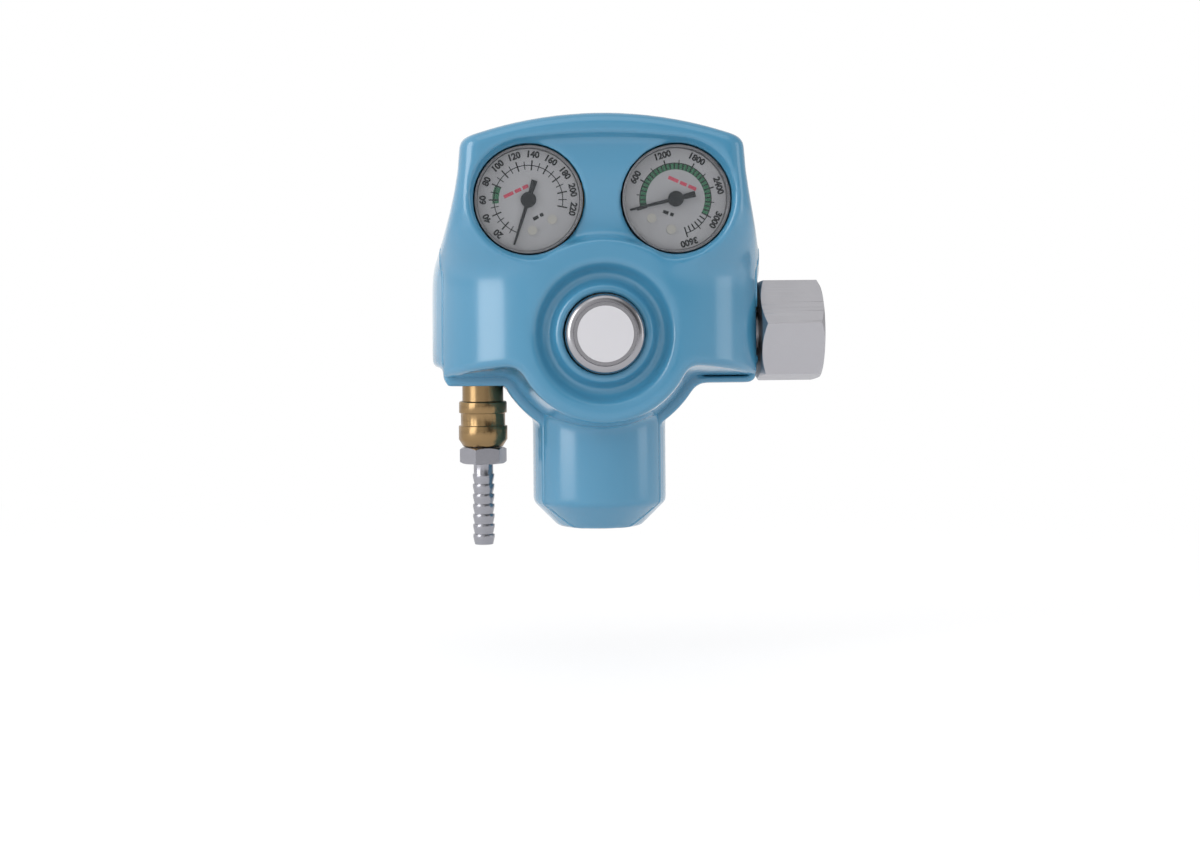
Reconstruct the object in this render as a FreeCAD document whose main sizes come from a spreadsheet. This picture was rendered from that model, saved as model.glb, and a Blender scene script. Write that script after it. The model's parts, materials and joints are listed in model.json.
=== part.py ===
"""Oxygen regulator: a two-part moulded cover over a piston regulator, with two gauges, a hexagon
inlet nut and a quick coupling with a hose tail. Millimetres, +Z up, front towards -Y. The origin is
the centre of the inlet nut's mouth, on the inlet axis, which runs along X. Heights are measured from
that axis and depths from the bonnet axis."""

import FreeCAD, Part
import math
import os
from collections import namedtuple

import Sketcher
from FreeCAD import Rotation, Vector

SIZES = {
    # Whole part
    "inlet_reach": 74.6,
    # Cover: barrel and brow
    "barrel_half_width": 56.3,
    "barrel_front": 34.0,
    "barrel_back": 26.0,
    "barrel_front_radius": 39.0,
    "barrel_back_radius": 16.0,
    "shoulder_height": 20.7,
    "parting_depth": 11.0,
    "cover_wall": 2.5,
    "cover_side_wall": 4.0,
    "cover_edge_round": 2.0,
    "flare_top": 60.0,
    "flare_steps": 6,
    "flare_width_power": 1.6,
    "flare_round_power": 2.8,
    "brow_half_width": 46.8,
    "brow_front_radius": 6.5,
    "brow_top": 78.0,
    "crown_height": 72.2,
    "crown_radius": 133.0,
    "crown_round": 4.5,
    # Cover: underside of the wings and the apron round the bonnet
    "front_wing_floor": 9.6,
    "front_apron_radius": 29.0,
    "parting_wing_floor": 14.8,
    "parting_apron_radius": 33.5,
    "apron_blend": 6.0,
    "rear_wing_floor": 17.3,
    "rear_apron_radius": 36.8,
    "rim_half_width": 52.7,
    "rim_height": 11.5,
    "rim_back": 23.0,
    "rim_corner": 3.0,
    "ledge_round": 1.6,
    "rim_plan_radius": 14.0,
    # Cover: bonnet sleeve
    "sleeve_radius": 22.5,
    "sleeve_bottom": 65.5,
    "sleeve_chamfer": 8.5,
    "sleeve_top": 8.0,
    # Cover: recess round the gauges
    "gauge_offset": 24.2,
    "gauge_height": 44.0,
    "recess_radius": 20.4,
    "recess_top": 65.8,
    "recess_depth": 3.2,
    "recess_slope": 2.1,
    "recess_backing": 2.5,
    "dome_radius": 31.0,
    "gauge_gap": 0.4,
    # Cover: dish round the centre plug
    "dish_radius": 23.0,
    "dish_floor_outer": 20.4,
    "dish_floor_inner": 17.6,
    "dish_depth": 5.1,
    "lip_radius": 15.9,
    "lip_depth": 1.4,
    "dish_round": 2.2,
    "lip_round": 0.7,
    "plug_gap": 1.0,
    # Cover: openings and screws
    "nut_recess_half_width": 53.6,
    "nut_recess_top": 18.7,
    "inlet_opening_radius": 8.0,
    "outlet_opening_radius": 8.0,
    "vent_width": 12.0,
    "vent_height": 1.6,
    "vent_pitch": 4.0,
    "vent_drop": 1.5,
    "boss_radius": 3.0,
    "rear_boss_radius": 4.0,
    "screw_upper_offset": 41.0,
    "screw_upper_height": 60.0,
    "screw_lower_offset": 23.4,
    "screw_lower_height": 13.8,
    "upper_boss_length": 20.8,
    "upper_boss_back": 16.0,
    "lower_boss_length": 14.0,
    "screw_radius": 1.45,
    "screw_pilot_radius": 1.3,
    "screw_hole_radius": 1.75,
    "screw_head_radius": 2.8,
    "screw_head_height": 2.2,
    "screw_head_hole_radius": 3.1,
    "screw_seat_depth": 12.0,
    "screw_engagement": 9.0,
    "screw_socket_radius": 1.2,
    "screw_socket_depth": 1.3,
    "body_screw_offset": 9.0,
    "body_screw_seat": 4.0,
    "body_screw_engagement": 6.0,
    # Regulator body
    "body_radius": 19.0,
    "body_top": 15.0,
    "spigot_radius": 16.6,
    "spigot_top": 12.0,
    "spigot_bottom": 24.0,
    "arm_radius": 8.8,
    "arm_end_wall": 9.6,
    "inlet_boss_end": 34.0,
    "plug_boss_radius": 11.9,
    "plug_boss_front": 27.0,
    "relief_boss_radius": 7.5,
    "neck_half_width": 18.0,
    "bar_half_width": 33.0,
    "bar_half_height": 7.0,
    "bar_front": 1.0,
    "bar_back": 11.0,
    "body_edge_round": 1.5,
    "thread_gap": 0.1,
    "fit_gap": 0.05,
    "passage_radius": 1.2,
    "passage_depth": 8.5,
    "passage_offset": 14.0,
    "inlet_passage_radius": 3.0,
    "inlet_port_depth": 10.0,
    "outlet_level": 3.0,
    "outlet_passage_radius": 1.5,
    "outlet_boss_radius": 7.4,
    "outlet_boss_bottom": 9.8,
    "outlet_port_top": 1.2,
    "outlet_offset": 39.4,
    "gauge_port_depth": 9.0,
    "low_chamber_radius": 5.2,
    "low_chamber_bottom": 14.0,
    "nozzle_seat": 1.5,
    "nozzle_top": 5.0,
    "high_chamber_radius": 3.5,
    "high_chamber_top": 8.0,
    "high_passage_offset": 9.5,
    "stem_radius": 3.95,
    "stem_groove_radius": 5.9,
    "stem_groove_top": 17.5,
    "stem_groove_bottom": 19.5,
    # Valve, piston and bonnet
    "nozzle_radius": 4.95,
    "nozzle_lip": 3.0,
    "nozzle_lip_radius": 1.7,
    "orifice_radius": 0.8,
    "nozzle_socket_radius": 2.0,
    "valve_travel": 0.8,
    "seat_radius": 2.6,
    "seat_thickness": 2.0,
    "stem_bore_radius": 1.5,
    "stem_cross_radius": 1.0,
    "stem_cross_drop": 5.2,
    "piston_gap": 0.1,
    "piston_radius": 15.1,
    "piston_top": 46.5,
    "piston_head": 7.0,
    "piston_groove_radius": 12.9,
    "piston_groove_rise": 2.0,
    "piston_groove_width": 2.8,
    "piston_foot_radius": 8.0,
    "piston_ring_wire": 1.1,
    "stem_ring_wire": 0.9,
    "spring_radius": 8.6,
    "spring_wire": 1.2,
    "spring_turns": 5.0,
    "bonnet_radius": 18.8,
    "bonnet_floor": 55.6,
    "bonnet_bottom": 59.6,
    "bonnet_chamfer": 6.5,
    "bonnet_relief": 0.6,
    # Inlet: nipple, filter, washer and nut
    "nipple_thread_radius": 6.4,
    "nipple_shoulder_radius": 8.4,
    "nipple_shoulder_length": 3.0,
    "nipple_radius": 6.0,
    "nipple_collar_radius": 11.2,
    "nipple_collar_length": 2.7,
    "nose_radius": 8.0,
    "nose_length": 2.4,
    "filter_radius": 5.0,
    "filter_depth": 4.0,
    "washer_thickness": 1.1,
    "washer_radius": 7.6,
    "washer_hole_radius": 5.4,
    "nut_length": 21.1,
    "nut_across_flats": 32.0,
    "nut_turn": 21.6,
    "nut_chamfer_rise": 1.5,
    "nut_wall": 3.6,
    "nut_bore_gap": 0.3,
    "nut_collar_gap": 0.1,
    "nut_relief_radius": 13.0,
    "nut_thread_radius": 12.06,
    "nut_thread_length": 11.0,
    "nut_lead_in": 0.6,
    # Centre plug
    "plug_radius": 13.0,
    "plug_front": 38.2,
    "plug_round": 2.4,
    "plug_step": 0.3,
    "plug_shank_radius": 8.0,
    "plug_shank_length": 10.0,
    "plug_port_depth": 12.0,
    "plug_ring_radius": 9.4,
    "plug_ring_wire": 0.9,
    "disc_radius": 9.2,
    "disc_thickness": 0.5,
    "disc_stand": 0.1,
    # Gauges
    "case_radius": 17.7,
    "case_wall": 0.8,
    "case_front": 30.0,
    "case_back": 10.0,
    "case_floor": 1.0,
    "lens_flange": 0.9,
    "lens_edge": 0.3,
    "lens_plug": 1.0,
    "lens_crown": 0.9,
    "dial_depth": 3.0,
    "dial_thickness": 0.6,
    "dial_gap": 0.2,
    "dial_hole_radius": 1.2,
    "dial_screw_radius": 1.55,
    "dial_screw_height": 0.7,
    "dial_screw_shank_radius": 0.7,
    "dial_screw_shank_length": 2.0,
    "dial_screw_distance": 10.15,
    "dial_screw_spread": 21.5,
    "pointer_length": 15.4,
    "pointer_tail": 6.5,
    "pointer_half_width": 0.55,
    "pointer_tip_half_width": 0.22,
    "pointer_tail_half_width": 0.9,
    "pointer_thickness": 0.35,
    "pointer_lift": 1.2,
    "hub_radius": 2.4,
    "hub_height": 1.3,
    "hub_lift": 0.45,
    "arbor_radius": 0.7,
    "arbor_gap": 0.1,
    "arbor_length": 12.0,
    "plate_radius": 8.5,
    "plate_thickness": 0.8,
    "front_plate_drop": 4.0,
    "back_plate_drop": 10.5,
    "post_radius": 1.0,
    "post_distance": 7.0,
    "socket_half_width": 4.0,
    "socket_height": 3.0,
    "stem_hex": 11.0,
    "stem_hole_radius": 4.2,
    "gauge_thread_radius": 4.5,
    "gauge_thread_length": 6.0,
    "root_wall": 0.5,
    "root_angle": 24.0,
    "seal_thickness": 0.6,
    "tube_radius": 12.6,
    "tube_half_width": 1.1,
    "tube_half_depth": 2.6,
    "tube_sweep": 250.0,
    "outlet_zero": 252.0,
    "outlet_gap": 298.5,
    "contents_zero": 193.5,
    "contents_gap": 240.0,
    # Relief valve
    "relief_level": 4.0,
    "relief_thread_radius": 4.4,
    "relief_thread_length": 6.5,
    "relief_flange_radius": 5.6,
    "relief_flange_length": 1.2,
    "relief_cap_wall": 0.8,
    "relief_bore_radius": 3.1,
    "relief_seat_radius": 1.4,
    "relief_seat_wall": 1.0,
    "relief_vent_radius": 1.5,
    "poppet_radius": 3.0,
    "poppet_length": 2.6,
    "poppet_pin_radius": 1.0,
    "poppet_pin_length": 3.0,
    "relief_spring_radius": 2.0,
    "relief_spring_wire": 0.2,
    "relief_spring_turns": 4.0,
    # Quick coupling and hose tail
    "coupler_thread_radius": 5.0,
    "coupler_thread_top": 4.7,
    "coupler_neck_radius": 6.95,
    "coupler_neck_bottom": 24.0,
    "coupler_core_radius": 5.4,
    "coupler_bottom": 37.6,
    "probe_fit": 0.05,
    "probe_radius": 4.05,
    "probe_top": 27.0,
    "probe_nose_radius": 2.9,
    "probe_nose_length": 1.6,
    "coupler_bore_top": 25.0,
    "coupler_passage_radius": 2.2,
    "ring_groove_radius": 4.85,
    "ring_groove_top": 28.7,
    "ring_groove_bottom": 29.6,
    "coupler_ring_wire": 0.4,
    "ball_level": 33.0,
    "ball_radius": 1.2,
    "ball_circle": 4.2,
    "sleeve_gap": 0.1,
    "collar_top": 22.9,
    "collar_one_radius": 8.1,
    "collar_one_bottom": 26.9,
    "collar_waist_radius": 7.5,
    "collar_two_top": 31.2,
    "collar_two_radius": 8.25,
    "collar_two_bottom": 35.8,
    "collar_mouth_radius": 6.7,
    "collar_bottom": 38.3,
    "collar_edge": 0.4,
    "land_top": 31.4,
    "land_bottom": 34.5,
    "relief_mouth_radius": 6.2,
    "collar_spring_radius": 6.2,
    "collar_spring_wire": 0.35,
    "collar_spring_turns": 5.0,
    "clip_top": 34.8,
    "clip_thickness": 0.9,
    "clip_radius": 6.0,
    "clip_depth": 0.4,
    "tail_hex": 14.0,
    "tail_hex_turn": 40.7,
    "tail_hex_top": 38.6,
    "tail_hex_bottom": 44.0,
    "tail_hex_rise": 0.6,
    "tail_neck_radius": 3.3,
    "barb_start": 47.6,
    "barb_pitch": 3.4,
    "barb_count": 7,
    "barb_radius": 3.65,
    "barb_root_radius": 3.1,
    "barb_land": 0.9,
    "tail_tip": 71.4,
    "tail_bore_radius": 1.7,
}

DOC = FreeCAD.newDocument("OxygenRegulator")
SHEET = DOC.addObject("Spreadsheet::Sheet", "Sizes")
EPSILON = 1e-6
FINE = 1e-4
CENTRE = 3
CORNER = 90.0
SUB_PARTS = []


class Size(float):
    """A length that carries the expression it comes from, so that features stay bound to the sheet."""

    def __new__(cls, value, text):
        made = super().__new__(cls, value)
        made.text = text
        return made

    def __add__(self, other):
        return Size(float(self) + float(other), f"({text_of(self)} + {text_of(other)})")

    def __radd__(self, other):
        return Size(float(other) + float(self), f"({text_of(other)} + {text_of(self)})")

    def __sub__(self, other):
        return Size(float(self) - float(other), f"({text_of(self)} - {text_of(other)})")

    def __rsub__(self, other):
        return Size(float(other) - float(self), f"({text_of(other)} - {text_of(self)})")

    def __mul__(self, other):
        return Size(float(self) * float(other), f"({text_of(self)} * {text_of(other)})")

    def __rmul__(self, other):
        return self * other

    def __truediv__(self, other):
        return Size(float(self) / float(other), f"({text_of(self)} / {text_of(other)})")

    def __neg__(self):
        return Size(-float(self), f"(0 - {text_of(self)})")

    def root(self):
        return Size(math.sqrt(float(self)), f"sqrt({text_of(self)})")


def text_of(value):
    return value.text if isinstance(value, Size) else repr(float(value))


def fill_sheet():
    """Writes each driving dimension to its own row and returns them as named sizes."""
    named = {}
    for row, (alias, value) in enumerate(SIZES.items(), start=1):
        SHEET.set(f"A{row}", alias)
        SHEET.set(f"B{row}", str(value))
        SHEET.setAlias(f"B{row}", alias)
        named[alias] = Size(value, f"Sizes.{alias}")
    DOC.recompute()
    return namedtuple("Dimensions", named)(**named)


D = fill_sheet()
Bend = namedtuple("Bend", "end centre turn")


def bind(thing, path, value):
    """Binds one property of an object to the sheet."""
    thing.setExpression(path, text_of(value))


def new_body(name, x=0, y=0, z=0):
    """A body whose own origin lies at x, y, z from the centre of the cover."""
    body = DOC.addObject("PartDesign::Body", name)
    body.Label = name
    if not name.endswith("_core"):
        SUB_PARTS.append(body)
    bind(body, "Placement.Base.x", x - D.inlet_reach)
    bind(body, "Placement.Base.y", y)
    bind(body, "Placement.Base.z", z)
    return body


def sketch_on(body, plane, offset, *outlines):
    """Closed outlines of lines and bends on one of the body's own planes, every corner held by two
    sizes. The XZ plane faces the front, so its offset there is a depth towards the front."""
    sketch = body.newObject("Sketcher::SketchObject", "outline")
    face = next(item for item in body.Origin.OriginFeatures if item.Role == plane + "_Plane")
    sketch.AttachmentSupport = (face, [""])
    sketch.MapMode = "FlatFace"
    bind(sketch, "AttachmentOffset.Base.z", offset)
    for path in outlines:
        draw(sketch, path)
    return sketch


def draw(sketch, path):
    """Adds one closed outline to a sketch."""
    corners = [step.end if isinstance(step, Bend) else step for step in path]
    first_curve = sketch.GeometryCount
    ends = []
    for index, step in enumerate(path):
        start = Vector(float(corners[index - 1][0]), float(corners[index - 1][1]), 0)
        end = Vector(float(corners[index][0]), float(corners[index][1]), 0)
        if isinstance(step, Bend):
            sketch.addGeometry(arc_between(start, end, step), False)
            ends.append((1, 2) if step.turn > 0 else (2, 1))
        else:
            sketch.addGeometry(Part.LineSegment(start, end), False)
            ends.append((1, 2))
    joins, holds = [], []
    for index, step in enumerate(path):
        curve, after = first_curve + index, (index + 1) % len(path)
        joins.append(
            Sketcher.Constraint("Coincident", curve, ends[index][1], first_curve + after, ends[after][0])
        )
        holds += [(curve, ends[index][1], axis, corners[index][axis]) for axis in (0, 1)]
        if isinstance(step, Bend):
            run = abs(corners[index][0] - corners[index - 1][0])
            rise = abs(corners[index][1] - corners[index - 1][1])
            axis = 1 if run >= rise else 0
            holds.append((curve, CENTRE, axis, step.centre[axis]))
    sketch.addConstraint(joins)
    hold(sketch, holds)


def arc_between(start, end, bend):
    centre = Vector(float(bend.centre[0]), float(bend.centre[1]), 0)
    first, last = (start, end) if bend.turn > 0 else (end, start)
    angles = [math.atan2(p.y - centre.y, p.x - centre.x) for p in (first, last)]
    if angles[1] <= angles[0]:
        angles[1] += 2 * math.pi
    circle = Part.Circle(centre, Vector(0, 0, 1), (start - centre).Length)
    return Part.ArcOfCircle(circle, *angles)


def hold(sketch, holds):
    """Holds ends and centres of curves at their distances from the origin, each along one axis."""
    kinds = ("DistanceX", "DistanceY")
    first = sketch.ConstraintCount
    held = [
        Sketcher.Constraint(kinds[axis], -1, 1, curve, end, float(value))
        for curve, end, axis, value in holds
    ]
    sketch.addConstraint(held)
    for number, (_, _, _, value) in enumerate(holds, start=first):
        bind(sketch, f"Constraints[{number}]", value)


def grow(body, kind, sketch, **settings):
    """Adds one feature to the body. A cut has to take material away and anything else has to leave some."""
    before = body.Tip.Shape.Volume if body.Tip else 0.0
    feature = body.newObject("PartDesign::" + kind, kind.lower())
    feature.Refine = False
    if kind.endswith("Loft"):
        feature.Profile, feature.Sections = sketch[0], sketch[1:]
    else:
        feature.Profile = sketch
    for name, value in settings.items():
        if isinstance(value, Size):
            bind(feature, name, value)
        else:
            setattr(feature, name, value)
    DOC.recompute()
    cutting = kind in ("Pocket", "Groove", "SubtractiveLoft")
    if feature.Shape.isNull() or (cutting and feature.Shape.Volume > before - EPSILON):
        raise RuntimeError(f"{body.Label}: {feature.Name} has no effect")
    return feature


def turn(body, path, plane="XZ", axis="V_Axis", kind="Revolution"):
    """Turns an outline about one axis of its plane."""
    sketch = sketch_on(body, plane, 0, path)
    return grow(body, kind, sketch, ReferenceAxis=(sketch, [axis]), Angle=360.0)


def dress(body, kind, size, pick):
    """Rounds or bevels the edges that the test picks."""
    edges = [f"Edge{n}" for n, edge in enumerate(body.Tip.Shape.Edges, start=1) if pick(edge)]
    if not edges:
        raise RuntimeError(f"{body.Label}: no edge to {kind.lower()}")
    base = body.Tip
    feature = body.newObject("PartDesign::" + kind, kind.lower())
    feature.Base = (base, edges)
    bind(feature, "Radius" if kind == "Fillet" else "Size", size)
    DOC.recompute()
    if "Invalid" in feature.State or "Error" in feature.State:
        raise RuntimeError(f"{body.Label}: {kind.lower()} of {float(size)} failed on {len(edges)} edges")
    return feature


def samples(edge):
    """Five places along an edge, measured from the cover's own centre."""
    first, last = edge.ParameterRange
    return [edge.valueAt(first + (last - first) * share / 4) for share in range(5)]


def box_path(left, right, low, high):
    return [(left, low), (right, low), (right, high), (left, high)]


def plan_section(half_width, front, front_radius, back, back_radius):
    """The cover's outline from above: flat front and back, round corners, straight sides."""
    flat, flat_back = half_width - front_radius, half_width - back_radius
    turn_front, turn_back = front_radius - front, back - back_radius
    return [
        (flat, -front),
        Bend((half_width, turn_front), (flat, turn_front), 1),
        (half_width, turn_back),
        Bend((flat_back, back), (flat_back, turn_back), 1),
        (-flat_back, back),
        Bend((-half_width, turn_back), (-flat_back, turn_back), 1),
        (-half_width, turn_front),
        Bend((-flat, -front), (-flat, turn_front), 1),
    ]


def apron_path(floor, radius, blend, reach, bottom):
    """What is cleared away below: level under the wings, a blend, then round the apron."""
    drop = floor + blend
    span = ((radius + blend) * (radius + blend) - drop * drop).root()
    share = radius / (radius + blend)
    touch_x, touch_z = span * share, drop * share
    return [
        (-span, -floor),
        Bend((-touch_x, -touch_z), (-span, -drop), -1),
        Bend((touch_x, -touch_z), (0, 0), 1),
        Bend((span, -floor), (span, -drop), -1),
        (reach, -floor),
        (reach, -bottom),
        (-reach, -bottom),
        (-reach, -floor),
    ]


def barrel(body, inset, side_inset, bottom):
    """The barrel of both covers, whole or shrunk to its hollow: a block, a flare and a brow."""
    front, back = D.barrel_front - inset, D.barrel_back - inset
    back_radius = D.barrel_back_radius - inset

    def section(height, half_width, radius):
        return sketch_on(body, "XY", height, plan_section(half_width, front, radius, back, back_radius))

    wing_width, wing_radius = D.barrel_half_width - side_inset, D.barrel_front_radius - side_inset
    brow_width, brow_radius = D.brow_half_width - side_inset, D.brow_front_radius - inset
    grow(body, "Pad", section(bottom, wing_width, wing_radius), Length=D.shoulder_height - bottom)
    levels = []
    steps = int(D.flare_steps)
    for step in range(steps + 1):
        left = 1 - step / steps
        width = brow_width + (wing_width - brow_width) * left**float(D.flare_width_power)
        radius = brow_radius + (wing_radius - brow_radius) * left**float(D.flare_round_power)
        height = D.shoulder_height + (D.flare_top - D.shoulder_height) * (step / steps)
        levels.append(section(height, width, radius))
    grow(body, "AdditiveLoft", levels, Ruled=True)
    grow(body, "Pad", section(D.flare_top, brow_width, brow_radius), Length=D.brow_top - D.flare_top)


def cut_crown(body, inset):
    """Clears what stands above the crown's arc."""
    radius = D.crown_radius - inset
    drop = D.crown_radius - D.crown_height
    reach = D.brow_half_width + D.cover_wall
    edge_height = (radius * radius - reach * reach).root() - drop
    top = D.brow_top + D.cover_wall
    path = [
        (reach, top),
        (-reach, top),
        (-reach, edge_height),
        Bend((reach, edge_height), (0, -drop), -1),
    ]
    grow(body, "Pocket", sketch_on(body, "XZ", 0, path), Type=1, Midplane=True)


def cut_under_front(body, inset):
    """Clears the drafted underside of the front half, from the parting plane to the front face."""
    reach, bottom = D.barrel_half_width + D.cover_wall, D.rear_apron_radius + D.sleeve_radius
    outlines = []
    for depth, floor, radius in (
        (D.parting_depth, D.parting_wing_floor, D.parting_apron_radius),
        (D.barrel_front, D.front_wing_floor, D.front_apron_radius),
    ):
        path = apron_path(floor - inset, radius - inset, D.apron_blend + inset, reach, bottom)
        outlines.append(sketch_on(body, "XZ", depth, path))
    grow(body, "SubtractiveLoft", outlines, Ruled=True)


def sleeve_path(inset):
    """The bonnet sleeve with its bevelled closed end, whole or shrunk to its bore."""
    radius = D.sleeve_radius - inset
    bottom = D.sleeve_bottom - inset
    bevel = D.sleeve_chamfer - inset * (2 - math.sqrt(2))
    return [
        (0, -D.sleeve_top),
        (0, -bottom),
        (radius - bevel, -bottom),
        (radius, bevel - bottom),
        (radius, -D.sleeve_top),
    ]


def halfspace(body, depth, towards_front):
    """Clears everything on one side of an upright plane across the cover."""
    reach = D.barrel_half_width * 2
    sketch = sketch_on(body, "XZ", depth, box_path(-reach, reach, -reach, reach))
    grow(body, "Pocket", sketch, Type=1, Reversed=towards_front)


def on_crown(edge):
    """True on the crown's arc, whose centre lies one crown radius below its top."""
    centre_height = D.crown_height - D.crown_radius
    return all(abs(math.hypot(p.x, p.z - centre_height) - D.crown_radius) < FINE for p in samples(edge))


def on_front_face(place):
    """True on the front face, which is flat near the middle and turns back round the sides."""
    flat = D.barrel_half_width - D.barrel_front_radius
    aside = max(0.0, abs(place.x) - flat)
    turned_back = D.barrel_front_radius - math.sqrt(D.barrel_front_radius**2 - aside**2)
    return abs(place.y + D.barrel_front - turned_back) < FINE


def under_front_face(edge):
    """True on the lower rim of the front face: wings, blends and apron."""
    places = samples(edge)
    across = abs(places[0].x - places[-1].x) > FINE
    low = all(p.y < -D.parting_depth and p.z < -D.cover_wall for p in places)
    return across and low and all(on_front_face(p) for p in places)


def front_form(body, inset, side_inset):
    barrel(body, inset, side_inset, -D.rear_apron_radius)
    cut_crown(body, inset)
    if not inset:
        dress(body, "Fillet", D.crown_round, on_crown)
    cut_under_front(body, inset)
    if not inset:
        dress(body, "Fillet", D.cover_edge_round, under_front_face)
    turn(body, sleeve_path(inset))


def on_rim_level(edge):
    return all(abs(p.z + D.rim_height) < FINE for p in samples(edge))


def on_rim_corner(edge):
    places = samples(edge)
    return abs(places[0].y - places[4].y) > D.cover_wall and all(
        abs(abs(p.x) - D.rim_half_width) < FINE and abs(p.z + D.rear_wing_floor) < FINE for p in places
    )


def on_ledge(edge):
    """True on the front edge of the rear half's rim and apron, in the parting plane."""
    places = samples(edge)
    parted = all(abs(p.y + D.parting_depth) < FINE and p.z < -D.rim_height for p in places)
    return parted and all(math.hypot(p.x, p.y) > D.sleeve_radius + FINE for p in places)


def rear_form(body, inset, side_inset):
    """The rear half: the barrel stops at the rim, and the rim and apron go down to the ledge."""
    barrel(body, inset, side_inset, inset - D.rim_height)
    cut_crown(body, inset)
    if not inset:
        dress(body, "Fillet", D.crown_round, on_crown)
        dress(body, "Fillet", D.cover_edge_round, on_rim_level)
    rim = plan_section(
        D.rim_half_width - inset,
        D.barrel_front - inset,
        D.rim_plan_radius - inset,
        D.rim_back - inset,
        D.rim_plan_radius - inset,
    )
    bottom = D.rear_apron_radius + D.cover_wall
    grow(body, "Pad", sketch_on(body, "XY", -bottom, rim), Length=bottom - D.rim_height + 2 * D.cover_wall)
    reach = D.barrel_half_width + D.cover_wall
    path = apron_path(
        D.rear_wing_floor - inset, D.rear_apron_radius - inset, D.apron_blend + inset, reach, bottom * 2
    )
    grow(body, "Pocket", sketch_on(body, "XZ", 0, path), Type=1, Midplane=True)
    turn(body, sleeve_path(inset))


def hollow(body, form, name):
    """Takes the shrunken form out of the cover, which leaves its walls."""
    core = new_body(name, x=D.inlet_reach)
    form(core, D.cover_wall, D.cover_side_wall)
    cut = body.newObject("PartDesign::Boolean", "hollow")
    cut.Type = "Cut"
    cut.Refine = False
    cut.setObjects([core])
    DOC.recompute()


def circle_path(x, y, radius):
    """A full circle as four bends."""
    corners = [(x + radius, y), (x, y + radius), (x - radius, y), (x, y - radius)]
    return [Bend(corner, (x, y), 1) for corner in corners]


def recess_path(slope):
    """The shallow recess that joins both gauges: round each gauge, under the brow, over the dome."""
    radius, top, dome = D.recess_radius - slope, D.recess_top - slope, D.dome_radius + slope
    x, z = D.gauge_offset, D.gauge_height
    reach = (x * x + z * z).root()
    along = (reach * reach + dome * dome - radius * radius) / (2 * reach)
    aside = (dome * dome - along * along).root()
    low_x, low_z = (along * x + aside * z) / reach, (along * z - aside * x) / reach
    rise = top - z
    brow = (rise * rise + x * x - radius * radius) / (2 * (rise - radius))
    share = brow / (brow - radius)
    touch_x, touch_z = x * share, top - brow + (z - top + brow) * share
    return [
        (low_x, low_z),
        Bend((touch_x, touch_z), (x, z), 1),
        Bend((-touch_x, touch_z), (0, top - brow), 1),
        Bend((-low_x, low_z), (-x, z), 1),
        Bend((low_x, low_z), (0, 0), -1),
    ][1:]


def both_sides(x, z, radius):
    """Two circles, left and right of the middle."""
    return circle_path(-x, z, radius), circle_path(x, z, radius)


def cover_screw_circles(radius):
    """Circles at the four cover screws, seen from the front."""
    return (
        *both_sides(D.screw_upper_offset, D.screw_upper_height, radius),
        *both_sides(D.screw_lower_offset, -D.screw_lower_height, radius),
    )


def front_cover():
    """Moulded front half, with the gauge recess, the dish round the plug and blind screw bosses."""
    body = new_body("front_cover")
    front_form(body, 0, 0)
    halfspace(body, D.parting_depth, False)
    hollow(body, front_form, "front_cover_core")
    front, inner = -D.barrel_front, D.cover_wall - D.barrel_front
    floor = front + D.dish_depth
    backing = D.cover_wall / 2
    dish_outside = D.dish_radius + D.cover_wall
    turn(body, box_path(D.plug_radius, dish_outside, inner - backing, floor + D.cover_wall), "XY")
    depth = D.barrel_front - D.recess_depth - D.recess_backing
    plate = sketch_on(body, "XZ", depth, recess_path(0))
    grow(body, "Pad", plate, Length=D.barrel_front - D.cover_wall + backing - depth)
    upper = both_sides(D.screw_upper_offset, D.screw_upper_height, D.boss_radius)
    grow(body, "Pad", sketch_on(body, "XZ", D.parting_depth, *upper), Length=D.upper_boss_length)
    lower = both_sides(D.screw_lower_offset, -D.screw_lower_height, D.boss_radius)
    grow(body, "Pad", sketch_on(body, "XZ", D.parting_depth, *lower), Length=D.lower_boss_length)
    rims = [
        sketch_on(body, "XZ", D.barrel_front, recess_path(0)),
        sketch_on(body, "XZ", D.barrel_front - D.recess_depth, recess_path(D.recess_slope)),
    ]
    grow(body, "SubtractiveLoft", rims, Ruled=True)
    openings = both_sides(D.gauge_offset, D.gauge_height, D.case_radius + D.gauge_gap)
    grow(body, "Pocket", sketch_on(body, "XZ", D.parting_depth, *openings), Type=1, Reversed=True)
    dish = [
        (0, front - D.cover_wall),
        (D.dish_radius, front - D.cover_wall),
        (D.dish_radius, front),
        (D.dish_floor_outer, floor),
        (D.dish_floor_inner, floor),
        (D.lip_radius, front + D.lip_depth),
        (D.plug_radius + D.plug_gap, front + D.lip_depth),
        (D.plug_radius + D.plug_gap, floor + 2 * D.cover_wall),
        (0, floor + 2 * D.cover_wall),
    ]
    turn(body, dish, "XY", kind="Groove")
    dress(body, "Fillet", D.dish_round, lambda e: is_ring(e, "y", D.dish_radius, front))
    dress(body, "Fillet", D.dish_round, lambda e: is_ring(e, "y", D.dish_floor_outer, floor))
    dress(body, "Fillet", D.lip_round, lambda e: is_ring(e, "y", D.lip_radius, front + D.lip_depth))
    pilots = sketch_on(body, "XZ", D.parting_depth, *cover_screw_circles(D.screw_pilot_radius))
    grow(body, "Pocket", pilots, Length=D.screw_engagement + 1, Reversed=True)
    return body


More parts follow.
